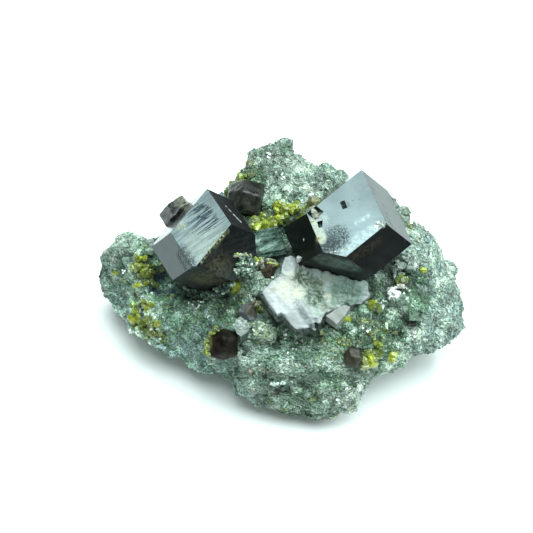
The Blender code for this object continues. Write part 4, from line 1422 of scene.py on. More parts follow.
@dataclass
class LargeGarnets:
    """The two large crystals."""
    nodes: dict[str, bpy.types.Object]
    edge: float = 0.07

    def finishes(self) -> dict[str, DarkGarnetFinish]:
        """The finish of each crystal.

        Returns:
            Finishes by the name of the solid.
        """
        left = (
            Patch((-11.6, -3.2, 22.6), 1.6, 5.0, HAZE_AND_SHEEN, 0.30, 0.8, 2.0, 0.55, 0.5, LEFT_TOP, None,
                  0.26),
            Patch((-12.6, -1.4, 22.9), 0.15, 0.9, (0.30, 0.31, 0.17), 0.75, 0.5, 0.35, 0.1, 0.8,
                  LEFT_TOP),
            # painted shade: darkens the back of the top face and hides its reflection
            Patch((-8.9, 1.6, 23.9), 0.8, 3.0, (0.040, 0.055, 0.062), 0.85, 0.8, 0.7, 0.5, 0.3,
                  LEFT_TOP, None, 0.48),
            Patch((-9.6, -4.4, 22.7), 1.4, 3.8, (0.30, 0.31, 0.22), 0.27, 0.8, 1.4, 0.45, 0.4,
                  LEFT_TOP),
            Patch((-12.5, -4.5, 21.9), 0.3, 1.3, SMOKE, 0.95, 1.0, 0.26, 0.0, 0.8, None,
                  (-11.4, -6.2, 21.8), 0.6),
            Patch((-13.0, -4.2, 21.0), 0.0, 0.40, (0.004, 0.006, 0.008), 0.95, 0.6, 0.30, 0.2, 0.6,
                  LEFT_SIDE, (-12.0, -6.0, 20.2), 0.8),
            Patch((-12.9, -4.5, 20.8), 0.2, 0.95, SMOKE, 0.95, 0.9, 0.22, 0.0, 0.8, LEFT_SIDE,
                  (-12.0, -5.8, 20.4), 0.7),
            Patch((-15.4, -2.0, 18.8), 0.3, 2.4, SMOKE, 0.55, 1.6, 0.45, 0.0, 0.4, LEFT_SIDE, None,
                  0.3),
            Patch((-13.6, -3.4, 17.4), 0.3, 2.0, SMOKE, 0.50, 1.4, 0.30, 0.0, 0.4, LEFT_SIDE, None,
                  0.35),
            Patch((-6.8, -2.5, 23.3), 0.15, 0.65, OLIVE_SKIN, 0.95, 0.6, 0.45, 0.0, 0.8, LEFT_FRONT,
                  (-8.3, -4.2, 22.7)),
            Patch((-8.3, -4.2, 22.7), 0.05, 0.45, OLIVE_SKIN, 0.85, 0.6, 0.40, 0.0, 0.8, LEFT_FRONT,
                  (-10.0, -6.2, 21.9)),
            Patch((-7.4, -2.8, 23.4), 0.0, 0.7, (0.20, 0.23, 0.16), 0.7, 0.8, 0.40, 0.0, 0.8, LEFT_TOP,
                  (-9.0, -4.6, 22.6)),
            Patch((-8.2, -5.4, 19.6), 0.8, 3.4, (0.042, 0.039, 0.020), 0.9, 1.4, 0.40, 0.0, 0.0,
                  LEFT_FRONT),
            Patch((-9.2, -6.0, 17.6), 1.0, 3.4, (0.062, 0.056, 0.026), 0.9, 1.6, 0.45, 0.0, 0.0,
                  LEFT_LOW),
            # painted highlight along the crystal's edge
            Patch((-6.9, 1.8, 23.0), 0.04, 0.18, EDGE_HIGHLIGHT, 0.9, 0.05, 0.8, 0.9, 1.0, None,
                  (-5.9, 0.8, 22.4)),
            Patch((-5.9, 0.8, 22.4), 0.06, 0.22, EDGE_HIGHLIGHT, 0.9, 0.05, 0.8, 0.9, 1.0, None,
                  (-5.0, 0.1, 21.9)))
        right = (
            # painted shade at the back of the top face, painted sheen at its front
            Patch((11.6, 3.2, 25.1), 1.0, 4.4, DIM_REFLECTION, 0.8, 0.8, 1.6, 0.5, 0.2,
                  RIGHT_TOP, None, 0.42),
            Patch((10.6, -3.6, 23.9), 2.2, 4.4, HAZE_AND_SHEEN, 0.85, 0.6, 2.4, 0.60, 0.6, RIGHT_TOP),
            Patch((8.0, 0.0, 24.1), 1.6, 6.0, HAZE_AND_SHEEN, 0.32, 0.8, 2.0, 0.45, 0.4, RIGHT_TOP, None,
                  0.10),
            Patch((7.4, 2.6, 24.3), 0.6, 2.8, DIM_REFLECTION, 0.8, 0.8, 1.6, 0.5, 0.2,
                  RIGHT_TOP, None, 0.40),
            Patch((8.0, -5.2, 23.2), 0.4, 1.4, FROST, 0.72, 0.7, 0.45, 0.2, 0.8, RIGHT_TOP,
                  (11.8, -3.1, 24.0)),
            Patch((9.7, -1.7, 24.1), 0.0, 0.45, (0.34, 0.40, 0.41), 0.75, 0.4, 0.35, 0.0, 0.8,
                  RIGHT_TOP, (11.2, -0.8, 24.3)),
            Patch((7.3, -3.4, 23.4), 1.3, 2.0, (0.15, 0.19, 0.19), 0.9, 0.6, 0.28, 0.0, 1.0,
                  RIGHT_TOP),
            Patch((7.3, -3.4, 23.4), 1.2, 2.2, SMOKE, 0.98, 0.9, 0.20, 0.10, 1.0, RIGHT_TOP, None,
                  0.55),
            Patch((6.5, -4.5, 23.1), 0.7, 1.9, SMOKE, 1.0, 0.9, 0.24, 0.2, 1.0, None,
                  (5.2, -4.4, 22.9), 0.75),
            Patch((4.2, -1.4, 23.3), 0.5, 1.15, CRUST, 0.95, 0.6, 0.45, 0.45, 1.0, RIGHT_TOP,
                  (5.1, -3.4, 23.0)),
            Patch((4.9, -3.5, 22.9), 0.1, 0.7, (0.33, 0.29, 0.14), 0.9, 0.4, 0.4, 0.2, 1.0),
            Patch((5.4, -0.8, 23.6), 0.3, 1.2, (0.26, 0.30, 0.27), 0.85, 0.8, 0.40, 0.2, 1.0,
                  RIGHT_TOP),
            Patch((12.9, -2.1, 24.4), 0.1, 0.8, (0.10, 0.12, 0.11), 0.95, 0.5, 0.30, 0.2, 1.0, None,
                  None, 0.7),
            Patch((8.4, 1.5, 24.3), 0.0, 0.16, (0.012, 0.016, 0.018), 0.9, 0.1, 0.8, 0.6, 0.6,
                  RIGHT_TOP, (10.2, 1.6, 24.6), 0.7),
            Patch((8.5, 1.0, 24.2), 0.3, 0.9, (0.030, 0.040, 0.042), 0.7, 0.6, 0.25, 0.1, 0.6,
                  RIGHT_TOP, None, 0.6),
            Patch((11.4, 4.0, 25.2), 0.05, 0.35, SMOKE, 0.7, 0.5, 0.5, 0.0, 0.5, None,
                  (13.4, -1.4, 24.4), 0.5),
            Patch((13.5, 1.6, 23.5), 0.1, 0.5, SMOKE, 0.75, 0.6, 0.4, 0.0, 0.5, RIGHT_NARROW,
                  (14.2, -1.4, 23.4), 0.5),
            Patch((14.2, 3.0, 22.4), 0.0, 0.35, SMOKE, 0.6, 0.5, 0.5, 0.0, 0.5, RIGHT_NARROW,
                  (15.6, -1.0, 21.8), 0.4),
            Patch((16.0, -1.6, 20.8), 0.2, 1.0, (0.07, 0.07, 0.025), 0.9, 0.8, 0.35, 0.0, 0.4,
                  RIGHT_FRONT),
            Patch((9.2, -5.9, 22.4), 0.2, 1.1, RUSTY, 0.9, 0.8, 0.35, 0.0, 0.0, RIGHT_FRONT,
                  (12.4, -3.9, 23.0)),
            Patch((5.8, -5.0, 20.6), 0.9, 2.2, (0.060, 0.088, 0.074), 0.95, 1.0, 0.8, 0.35, 0.0,
                  RIGHT_LOW, (8.8, -5.9, 20.6)))
        return {
            "garnet_left": DarkGarnetFinish(
                "garnet_grooved", LEFT_TOP, left,
                (Patch((-9.9, -0.9, 23.5), 1.2, 2.2, BLUISH, 1.0, 0.7, end=(-8.4, -3.2, 23.0)),
                 Patch((-10.2, 0.3, 23.7), 0.5, 1.5, BLUISH, 0.8, 0.6)), (0.0, 0.0, 33.0),
                ((LEFT_SIDE, 0.34), (LEFT_FRONT, 0.64), (LEFT_LOW, 0.80), (LEFT_NARROW, 0.96)), 0.38),
            "garnet_right": DarkGarnetFinish(
                "garnet_frosted", RIGHT_TOP, right, (), (0.0, 0.0, 0.0),
                ((RIGHT_SIDE, 0.80), (RIGHT_FRONT, 0.72), (RIGHT_LOW, 0.82), (RIGHT_NARROW, 0.18))),
        }

    def build(self) -> None:
        """Makes both crystals."""
        for name, finish in self.finishes().items():
            mesh = bevelled(self.nodes[name], self.edge)
            make_piece(name + "_crystal", mesh, finish.material(), [name])


@dataclass
class SmallGarnets:
    """The six small brown crystals."""
    nodes: dict[str, bpy.types.Object]
    voxel: float = 0.10
    grow_marks: float = 0.035
    worn: tuple[tuple[str, int], ...] = (("garnet_lower", 60), ("garnet_upper", 22),
                                         ("garnet_low_right", 12))

    def finishes(self) -> dict[str, BrownGarnetFinish]:
        """The finish of each crystal.

        Returns:
            Finishes by the name of the solid.
        """
        olive_rim = (0.15, 0.155, 0.035)
        return {
            "garnet_satellite": BrownGarnetFinish(
                "garnet_umber", (0.053, 0.054, 0.053), (0.020, 0.020, 0.021),
                (Patch((-12.5, 6.0, 18.4), 0.7, 1.9, (0.115, 0.122, 0.062), 0.9),
                 Patch((-15.0, 4.1, 17.0), 0.3, 1.6, (0.014, 0.015, 0.019), 0.85, 0.3, 0.8, 0.5, 1.0,
                       (-0.83, -0.25, 0.50)),
                 Patch((-15.2, 3.0, 15.6), 0.3, 0.9, olive_rim, 0.8))),
            "garnet_upper": BrownGarnetFinish(
                "garnet_brown_grey", (0.026, 0.0265, 0.020), (0.007, 0.008, 0.0065),
                (Patch((-4.6, 8.0, 18.6), 0.1, 1.4, (0.004, 0.004, 0.004), 0.9, 1.0, 0.4),),
                gloss=0.36),
            "garnet_lower": BrownGarnetFinish(
                "garnet_black_brown", (0.0125, 0.0088, 0.0055), (0.0042, 0.0036, 0.0024),
                (Patch((-9.3, -11.6, 11.2), 0.5, 1.2, olive_rim, 0.95, 0.5, 0.5, 0.3),
                 Patch((-8.6, -10.4, 12.6), 0.1, 0.7, olive_rim, 0.8, 0.5, 0.5, 0.1),
                 Patch((-6.2, -13.2, 10.2), 0.1, 0.8, (0.07, 0.055, 0.02), 0.7),
                 Patch((-7.6, -12.6, 10.4), 0.3, 1.8, (0.030, 0.017, 0.011), 0.6, 1.0, 0.28, 0.0)),
                0.45, gloss=0.08),
            "garnet_low_right": BrownGarnetFinish(
                "garnet_taupe", (0.040, 0.037, 0.023), (0.021, 0.018, 0.010),
                (Patch((8.6, -12.6, 11.8), 0.3, 0.9, (0.050, 0.026, 0.006), 0.95),
                 Patch((9.9, -12.6, 11.8), 0.2, 0.8, (0.014, 0.011, 0.006), 0.95)), 0.36,
                gloss=0.18),
            "garnet_front": BrownGarnetFinish(
                "garnet_violet_grey", (0.112, 0.124, 0.130), (0.070, 0.076, 0.080),
                (Patch((-3.6, -7.4, 12.9), 0.7, 1.3, (0.040, 0.030, 0.010), 0.95, 0.5, 0.5, 0.6),
                 Patch((-5.0, -6.2, 13.4), 0.1, 0.8, (0.020, 0.024, 0.012), 0.95, 0.5, 0.5, 0.3)),
                0.34, gloss=0.3),
            "garnet_patch": BrownGarnetFinish(
                "garnet_rust", (0.085, 0.066, 0.040), (0.030, 0.024, 0.014),
                (Patch((-1.4, -1.0, 15.4), 0.2, 0.8, (0.20, 0.18, 0.08)),), 0.5, gloss=0.2),
        }

    def build(self) -> None:
        """Makes the crystals."""
        for name, finish in self.finishes().items():
            mesh = rounded(remesh(self.nodes[name], self.voxel), dict(self.worn).get(name, 0))
            points, normals = points_of(mesh), normals_of(mesh)
            lift = cloud_at(points, 0.8) * self.grow_marks
            move_points(mesh, points + normals * lift[:, None])
            make_piece(name + "_crystal", mesh, finish.material(), [name])


# ------------------------------------------------------------------ calcite, prism and clear grains
TEAL = (0.19, 0.295, 0.25)
MOSS = (0.060, 0.110, 0.065)
PALE_GREEN = (0.345, 0.43, 0.36)
CREAM = (0.55, 0.55, 0.425)


@dataclass
class Calcite:
    """The cleaved calcite mass and the loose bits of calcite."""
    nodes: dict[str, bpy.types.Object]
    voxel: float = 0.13
    across: Vec = (0.81, 0.58, 0.0)     # direction across the cleavage steps
    pitch: float = 1.25
    step: float = 0.07
    ragged: float = 0.05
    rough_from: float = 3.2             # right of this the mass is rougher
    edge: float = 0.06                  # rounding of the edges of the loose bits
    worn: int = 90                      # rounds of smoothing
    climb: float = 1.5                  # how high the mass climbs the garnet behind it
    climb_reach: float = 2.0
    climb_from: float = 13.2
    knob: Vec = (0.9, -2.6, 16.0)       # above this its knob is blunter
    knob_cut: float = 0.45
    knob_reach: float = 2.2
    healed: tuple[tuple[float, float], ...] = ((0.2, -9.1), (1.9, -8.6), (3.3, -7.4))   # a closed step
    slope_at: Vec = (2.1, -7.9, 14.75)  # a point of the face above it
    slope: tuple[float, float] = (0.02, 0.25)   # its rise to the east and to the north
    heal_reach: float = 2.0
    heal_from: float = 13.0             # nothing below this is healed
    heal_fade: float = 0.6
    heal_most: float = 1.2
    slab_hash: tuple[float, float] = (12.9898, 43758.5453)
    plate_hash: tuple[float, float] = (78.233, 12543.123)
    plates: Vec = (-0.30, 0.62, 0.72)   # direction across the second cleavage
    plate_pitch: float = 1.5
    plate_share: float = 0.6
    depth: float = 0.7

    def heal(self, mesh: bpy.types.Mesh) -> None:
        """Slopes the lower face up to the upper one, where a step has grown together.

        Args:
            mesh: the mesh to change.
        """
        points = points_of(mesh)
        away = np.full(len(points), np.inf)
        for start, end in zip(self.healed, self.healed[1:]):
            away = np.minimum(away, off_line(points[:, :2], start, end))
        near = np.clip(1.0 - away / self.heal_reach, 0.0, 1.0)
        near *= np.clip((points[:, 2] - self.heal_from) / self.heal_fade, 0.0, 1.0)
        (x, y, height), (east, north) = self.slope_at, self.slope
        face = height + (points[:, 0] - x) * east + (points[:, 1] - y) * north
        lift = np.clip(face - points[:, 2], 0.0, self.heal_most)
        points[:, 2] += lift * near * near * (3.0 - 2.0 * near)
        move_points(mesh, points)

    def cleave(self, mesh: bpy.types.Mesh) -> None:
        """Cuts a mesh into slabs of slightly different height.

        Args:
            mesh: the mesh to change.
        """
        points, normals = points_of(mesh), normals_of(mesh)
        along = points @ np.array(self.across)
        slab = np.floor((along + cloud_at(points, 2.6, 2.0) * 0.9) / self.pitch)
        height = hashed(slab, self.slab_hash) * self.step
        plate = np.floor((points @ np.array(self.plates) + cloud_at(points, 1.8) * 0.5)
                         / self.plate_pitch)
        height += hashed(plate, self.plate_hash) * self.step * self.plate_share
        rough = np.clip((points[:, 0] - self.rough_from) / 1.5, 0.0, 1.0)
        height += cloud_at(points, 0.6, 11.0) * self.ragged * (1 + rough * 2.2)
        height += cloud_at(points, 0.35, 12.0) * self.ragged * (0.25 + rough * 1.4)
        height += cloud_at(points, 1.4, 13.0) * 0.20 * rough
        move_points(mesh, points + normals * (height * self.depth)[:, None])

    def settle(self, mesh: bpy.types.Mesh) -> None:
        """Raises the mass where it meets the right garnet and blunts its knob.

        Args:
            mesh: the mesh to change.
        """
        garnet = tree_of([self.nodes["garnet_right"]])
        points = points_of(mesh)
        away = np.array([garnet.find_nearest(Vector(spot))[3] for spot in points])
        near = np.clip(1 - away / self.climb_reach, 0.0, 1.0)
        near = near * near * (3 - 2 * near) * np.clip(points[:, 2] - self.climb_from, 0.0, 1.0)
        near *= np.clip(points[:, 0] - self.knob[0] - 1.0, 0.0, 1.0)
        points[:, 2] += near * (self.climb + cloud_at(points, 1.1, 5.0) * 0.3)
        top = np.clip(points[:, 2] - self.knob[2], 0.0, 1.0)
        top *= np.linalg.norm(points[:, :2] - np.array(self.knob[:2]), axis=1) < self.knob_reach
        points[:, 2] -= top * self.knob_cut
        move_points(mesh, points)

    def finishes(self) -> dict[str, CalciteFinish]:
        """The finish of each piece.

        Returns:
            Finishes by the name of the solid.
        """
        mass = (
            Patch((1.8, -5.6, 15.4), 1.2, 3.0, CREAM, 0.9, 1.2, 1.0, 0.4),
            Patch((-0.9, -5.9, 15.2), 0.2, 0.9, (0.26, 0.21, 0.14), 0.7, 0.5, 0.4),
            Patch((6.0, -6.2, 15.2), 1.8, 3.6, PALE_GREEN, 0.95, 1.2, 0.9, 0.5),
            Patch((3.2, -4.4, 16.0), 0.9, 2.1, MOSS, 1.0, 1.2, 0.42, 0.30),
            Patch((4.9, -5.2, 15.8), 0.5, 1.5, MOSS, 0.95, 1.0, 0.36, 0.10),
            Patch((4.6, -6.8, 14.9), 0.9, 1.9, MOSS, 1.0, 1.2, 0.40, 0.28),
            Patch((5.2, -5.2, 15.9), 0.3, 0.9, (0.14, 0.15, 0.05), 0.8, 0.5, 0.4, 0.2),
            Patch((8.9, -6.0, 15.4), 1.8, 3.0, TEAL, 0.98, 1.0, 0.6, 0.6),
            Patch((8.6, -6.4, 15.2), 1.0, 2.6, MOSS, 0.70, 1.2, 0.28, 0.0),
            Patch((6.7, -4.2, 16.8), 0.9, 1.7, (0.235, 0.30, 0.26), 0.9, 0.6, 1.0, 0.6),
            Patch((6.3, -6.9, 14.9), 0.3, 0.9, CREAM, 0.8, 0.5, 0.5, 0.2),
            Patch((5.0, -8.6, 14.1), 0.6, 1.3, PALE_GREEN, 0.75, 0.6, 0.6, 0.3),
            Patch((1.0, -2.5, 16.6), 0.6, 1.5, (0.27, 0.30, 0.29), 0.8, 0.5, 0.6, 0.4),
            Patch((2.2, -7.6, 14.9), 0.15, 0.85, (0.15, 0.19, 0.195), 0.95, 0.6, 0.25, 0.3, 0.6, None,
                  (3.2, -9.0, 14.1)),
            Patch((2.9, -8.7, 14.2), 0.15, 0.7, (0.11, 0.145, 0.145), 0.9, 0.4, 0.6, 0.6, 0.6, None,
                  (4.2, -10.4, 13.4)),
            Patch((4.2, -10.2, 13.2), 0.2, 0.7, (0.03, 0.05, 0.045), 0.95, 0.3, 0.5, 0.6, 0.6, None,
                  (4.8, -11.2, 12.0)),
            Patch((5.8, -8.2, 14.3), 0.2, 0.7, (0.10, 0.07, 0.035), 0.85, 0.3, 0.4, 0.2))
        return {
            "calcite_mass": CalciteFinish("calcite_cleaved", patches=mass, wall_shade=1.0),
            "calcite_wedge": CalciteFinish("calcite_wedge_pale", (0.29, 0.305, 0.285),
                                           (0.21, 0.23, 0.21), wall_shade=0.8, foot=11.8),
            "calcite_sliver": CalciteFinish("calcite_sliver_grey", (0.30, 0.34, 0.33),
                                            (0.15, 0.19, 0.18), wall_shade=0.9),
            "calcite_chip": CalciteFinish(
                "calcite_chip_grey", (0.36, 0.40, 0.375), (0.13, 0.17, 0.145),
                (Patch((-5.0, -10.0, 12.2), 1.2, 2.4, (0.10, 0.14, 0.115), 0.85, 0.8, 0.5, 0.0),
                 Patch((-5.0, -10.6, 11.9), 0.3, 1.0, (0.17, 0.21, 0.185), 0.9, 0.5, 0.3, 0.2)),
                lines=0.2, wall_shade=0.95, foot=11.4),
        }

    def build(self) -> None:
        """Makes the pieces."""
        for name, finish in self.finishes().items():
            if name == "calcite_mass":
                mesh = smoothed(remesh(self.nodes[name], self.voxel), self.worn)
                self.heal(mesh)
                self.settle(mesh)
                self.cleave(mesh)
            else:
                mesh = bevelled(self.nodes[name], self.edge)
            make_piece(name + "_cleaved", mesh, finish.material(), [name])


@dataclass
class Prism:
    """The striped prism."""
    node: bpy.types.Object
    voxel: float = 0.085
    turn: float = PRISM_TURN
    pitch: float = 0.40
    rib: float = 0.055
    slant: float = -0.6         # how far the ribs' order leans on height
    waver: tuple[float, float] = (1.1, 0.45)    # the ribs wander in waves this long, this far
    ahead: int = 40             # whole ribs added, so that none is counted below zero
    fine: float = 0.02

    def build(self) -> None:
        """Makes the prism with fine ribs along it."""
        mesh = remesh(self.node, self.voxel)
        points, normals = points_of(mesh), normals_of(mesh)
        angle = math.radians(self.turn)
        across = points @ np.array((-math.sin(angle), math.cos(angle), self.slant))
        length, reach = self.waver
        place = (across + cloud_at(points, length) * reach) / self.pitch + self.ahead
        wave = np.abs(np.modf(place)[0] - 0.5) * 2
        lift = (wave - 0.5) * self.rib + cloud_at(points, 0.6) * self.fine
        move_points(mesh, points + normals * lift[:, None])
        make_piece("prism_striped", mesh, PrismFinish().material(), ["striated_prism"])


@dataclass
class ClearGrains:
    """The nest of clear crystals."""
    node: bpy.types.Object
    spots: tuple[Vec, ...] = ((16.6, -0.2, 14.1), (17.4, -0.9, 14.0), (17.0, 0.3, 13.9),
                              (15.6, -0.9, 14.5), (18.2, -1.0, 13.2), (18.9, -0.3, 12.9),
                              (16.0, -2.7, 14.1), (15.2, -3.0, 14.2))
    size: float = 0.95

    def build(self) -> None:
        """Makes the crystals: those of the solid, and smaller ones among them."""
        rng = np.random.default_rng(SEED + 1)
        mesh = bevelled(self.node, 0.05, 0.5)
        bm = bmesh.new()
        bm.from_mesh(mesh)
        spots = np.array(self.spots)
        count = len(spots)
        sizes = self.size * rng.uniform((0.8, 0.5, 0.5), (1.3, 0.8, 0.8), (count, 3))
        corners, faces = grow(Form.NUGGET, spots, sizes, random_turns(count, rng), 0.05, rng)
        verts = [bm.verts.new(Vector(spot) * MM) for spot in corners]
        for face in faces:
            bm.faces.new([verts[corner] for corner in face])
        bm.to_mesh(mesh)
        bm.free()
        make_piece("clear_crystals", mesh, ClearFinish().material(), ["quartz_cluster"])


# ------------------------------------------------------------------ epidote and small bright bits
@dataclass(frozen=True)
class Strew:
    """Epidote grains strewn round a spot."""
    centre: Vec
    radius: float
    count: int
    size: float = 0.75


STREWN = (
    Strew((-18.5, 0.5, 13.1), 0.7, 4, 1.0), Strew((-21.9, 1.1, 9.2), 0.5, 3, 1.0),
    Strew((-18.7, -2.5, 11.2), 0.6, 4, 0.8), Strew((-17.4, -0.6, 12.2), 1.0, 10, 0.8),
    Strew((-17.0, -1.8, 11.4), 1.0, 9, 0.8), Strew((-18.9, -4.7, 7.6), 0.9, 6, 0.8),
    Strew((-17.7, -4.5, 9.5), 0.7, 5, 0.8), Strew((-19.9, -5.2, 6.4), 0.9, 6, 0.9),
    Strew((-17.0, -6.6, 7.8), 1.3, 9, 0.75), Strew((-16.4, -7.2, 6.0), 1.3, 8, 0.65),
    Strew((-19.2, -3.4, 8.4), 1.2, 5, 0.5), Strew((-5.5, 13.4, 14.6), 0.7, 5, 0.9),
    Strew((-6.2, 11.8, 14.8), 0.9, 6, 0.8), Strew((-7.2, 9.2, 14.6), 0.9, 4, 0.5),
    Strew((-9.6, -10.4, 9.2), 0.6, 5, 0.6), Strew((-6.0, -5.0, 12.0), 1.8, 6, 0.4),
    Strew((-2.6, -6.2, 11.2), 0.7, 6, 0.6), Strew((-2.4, -7.9, 11.6), 0.6, 4, 0.7),
    Strew((7.6, -11.6, 10.8), 0.9, 6, 0.55), Strew((12.6, -11.6, 9.9), 1.0, 7, 0.8),
    Strew((13.8, -9.6, 11.8), 1.8, 6, 0.45), Strew((11.5, -10.4, 12.1), 0.5, 3, 0.6),
    Strew((19.4, -0.9, 12.2), 0.4, 2, 0.8), Strew((18.0, 6.2, 13.2), 1.0, 4, 0.6),
    Strew((-0.3, 6.5, 16.7), 0.6, 4, 1.0), Strew((-2.4, 5.3, 15.8), 0.6, 4, 0.9),
    Strew((2.0, 6.2, 16.6), 0.8, 4, 0.9), Strew((-4.2, -0.4, 15.6), 0.8, 7, 0.5),
    Strew((-3.4, -1.2, 15.2), 0.8, 7, 0.55), Strew((-1.8, -1.6, 15.0), 1.0, 6, 0.5),
    Strew((12.3, -7.0, 13.8), 0.4, 3, 0.8), Strew((8.7, -8.9, 12.6), 0.35, 2, 0.9),
    Strew((4.0, 7.2, 16.4), 0.8, 3, 0.8),
)
BRIGHT = (      # round these spots the epidote is yellow
    (-5.5, 13.5, 14.6), (-0.3, 6.5, 16.7), (0.3, 6.1, 17.0), (2.0, 5.9, 17.2), (-1.4, 5.4, 16.0),
    (-2.9, 4.2, 16.3), (-0.6, 4.8, 16.7), (-1.5, 4.0, 16.5), (-3.1, -1.0, 15.7), (-1.2, -1.0, 15.6),
    (-18.5, 0.5, 13.1), (-21.9, 1.1, 9.2), (16.4, -2.2, 13.0), (-6.0, -4.6, 14.2),
    (-18.7, -2.5, 11.2), (12.3, -7.0, 13.8), (-18.9, -4.7, 7.5), (-19.9, -5.3, 6.6),
    (8.7, -8.9, 12.6), (15.1, -12.5, 9.5), (12.2, -13.6, 10.0), (-17.7, -4.6, 9.4),
    (6.2, -7.7, 14.5), (19.2, -0.9, 12.2), (-16.9, -6.6, 8.0), (-9.4, -11.6, 10.6),
)
GLINTS = (      # middle, radius and number of the grains
    ((-10.4, -4.9, 11.2), 0.7, 5), ((-11.4, -5.4, 10.8), 0.9, 8), ((1.0, -9.4, 10.2), 0.7, 5),
    ((-8.4, -11.6, 8.2), 0.6, 4), ((-20.8, 0.4, 10.1), 0.4, 3), ((-1.6, -3.4, 14.2), 0.8, 4),
    ((-16.0, -7.4, 5.7), 0.4, 3), ((8.0, -16.6, 6.6), 1.2, 5), ((2.4, -10.6, 8.8), 1.2, 5),
    ((16.4, -5.0, 13.4), 0.7, 7), ((13.6, -7.1, 13.6), 0.6, 5), ((-2.4, -14.4, 8.6), 1.6, 7),
    ((-1.2, 15.0, 17.1), 0.6, 4), ((2.3, 11.6, 17.7), 0.5, 2), ((0.7, 10.8, 17.6), 0.6, 3),
    ((4.7, 10.6, 17.0), 0.4, 1), ((4.5, 8.6, 16.3), 0.5, 3), ((3.4, 7.5, 16.2), 0.6, 3),
    ((18.4, 4.0, 13.3), 0.6, 3), ((18.1, 0.9, 13.0), 0.5, 2), ((-3.5, -2.5, 13.4), 0.5, 3),
    ((-19.7, -1.8, 8.8), 0.4, 2), ((-17.0, -3.4, 10.1), 0.3, 1), ((11.5, -10.4, 12.1), 0.5, 3),
    ((17.6, -9.7, 10.1), 0.6, 4), ((0.8, -13.2, 9.9), 0.8, 3), ((1.9, -15.2, 8.0), 0.8, 3),
)


@dataclass
class Epidote:
    """The epidote: crystals grown over each solid, and grains strewn on the rock."""
    nodes: dict[str, bpy.types.Object]
    rock: bpy.types.Mesh
    spacing: float = 0.86
    bright: Vec = (0.262, 0.305, 0.026)
    olive: Vec = (0.084, 0.120, 0.026)
    bright_reach: float = 0.9
    rough: float = 0.25
    core_voxel: float = 0.12
    core_depth: float = 0.10            # how far the solid's form lies within the crystals
    core_shade: float = 0.6
    margin: float = 0.15                # how far crystals may pass the solid's box
    grown: Vec = (1.25, 0.85, 0.80)     # proportions of the grown crystals
    loose: Vec = (1.15, 0.85, 0.75)     # and of the strewn ones
    sizes: tuple[float, float] = (0.70, 1.40)
    sunk: float = 0.32                  # how deep the grown ones sit, as a share of their size
    lowest: float = -0.4                # none grow where the surface looks down more than this

    def tints(self, spots: np.ndarray, rng: np.random.Generator) -> np.ndarray:
        """Colours of crystals.

        Args:
            spots: middles of the crystals.
            rng: the source of chance.

        Returns:
            Colour and roughness, one row a crystal.
        """
        away = np.linalg.norm(spots[:, None] - np.array(BRIGHT), axis=2).min(1)
        near = np.exp(-(away / self.bright_reach) ** 2)
        share = near + 0.12 + cloud_at(spots, 0.9) * 0.25 + rng.normal(0, 0.12, len(spots))
        share = np.clip(share, 0, 1)
        colour = np.outer(1 - share, self.olive) + np.outer(share, self.bright)
        colour = colour * np.exp(rng.normal(0, 0.18, (len(spots), 1)))
        return np.concatenate((colour, np.full((len(spots), 1), self.rough)), axis=1)

    def over_solid(self, name: str, rng: np.random.Generator) -> bpy.types.Mesh:
        """Crystals over one solid.

        Args:
            name: the solid's name.
            rng: the source of chance.

        Returns:
            The mesh, the solid's own form within it.
        """
        core = remesh(self.nodes[name], self.core_voxel)
        spots, normals = sample(core, self.spacing, rng)
        outward = normals[:, 2] > self.lowest
        spots, normals = spots[outward], normals[outward]
        count = len(spots)
        size = rng.uniform(*self.sizes, count)
        middles = spots - normals * (size * self.sunk)[:, None]
        corners, faces = grow(Form.NUGGET, middles, np.outer(size, self.grown),
                              random_turns(count, rng), 0.06, rng)
        tint = self.tints(spots, rng)
        inner, triangles = core_of(core, self.core_depth)
        under = self.tints(inner, rng)
        under[:, :3] *= self.core_shade
        heap = Heap()
        heap.add(inner, triangles, under)
        heap.add(kept_near(name, corners, self.margin), faces, per_corner(Form.NUGGET, tint))
        return heap.build(name + "_crystals")

    def strewn(self, rng: np.random.Generator) -> bpy.types.Mesh:
        """The grains strewn on the rock.

        Args:
            rng: the source of chance.

        Returns:
            Their mesh.
        """
        spots, normals = sample(self.rock, 0.35, rng)
        picked: list[int] = []
        sizes: list[float] = []
        for strew in STREWN:
            away = np.linalg.norm(spots - strew.centre, axis=1)
            chosen = pick((away < strew.radius) & (normals[:, 2] > -0.2), strew.count, rng)
            picked += list(chosen)
            sizes += list(strew.size * rng.uniform(0.7, 1.25, len(chosen)))
        spots, normals, size = spots[picked], normals[picked], np.array(sizes)
        middles = spots + normals * (size * 0.08)[:, None]
        corners, faces = grow(Form.NUGGET, middles, np.outer(size, self.loose),
                              random_turns(len(spots), rng), 0.09, rng)
        return build_mesh("epidote_strewn", corners, faces,
                          per_corner(Form.NUGGET, self.tints(spots, rng)))

    def build(self) -> None:
        """Makes all the epidote."""
        rng = np.random.default_rng(SEED + 2)
        material = EpidoteFinish().material()
        for name in sorted(node for node in self.nodes if node.startswith("epidote_")):
            make_piece(name + "_crystals", self.over_solid(name, rng), material, [name])
        make_piece("epidote_strewn", self.strewn(rng), material)


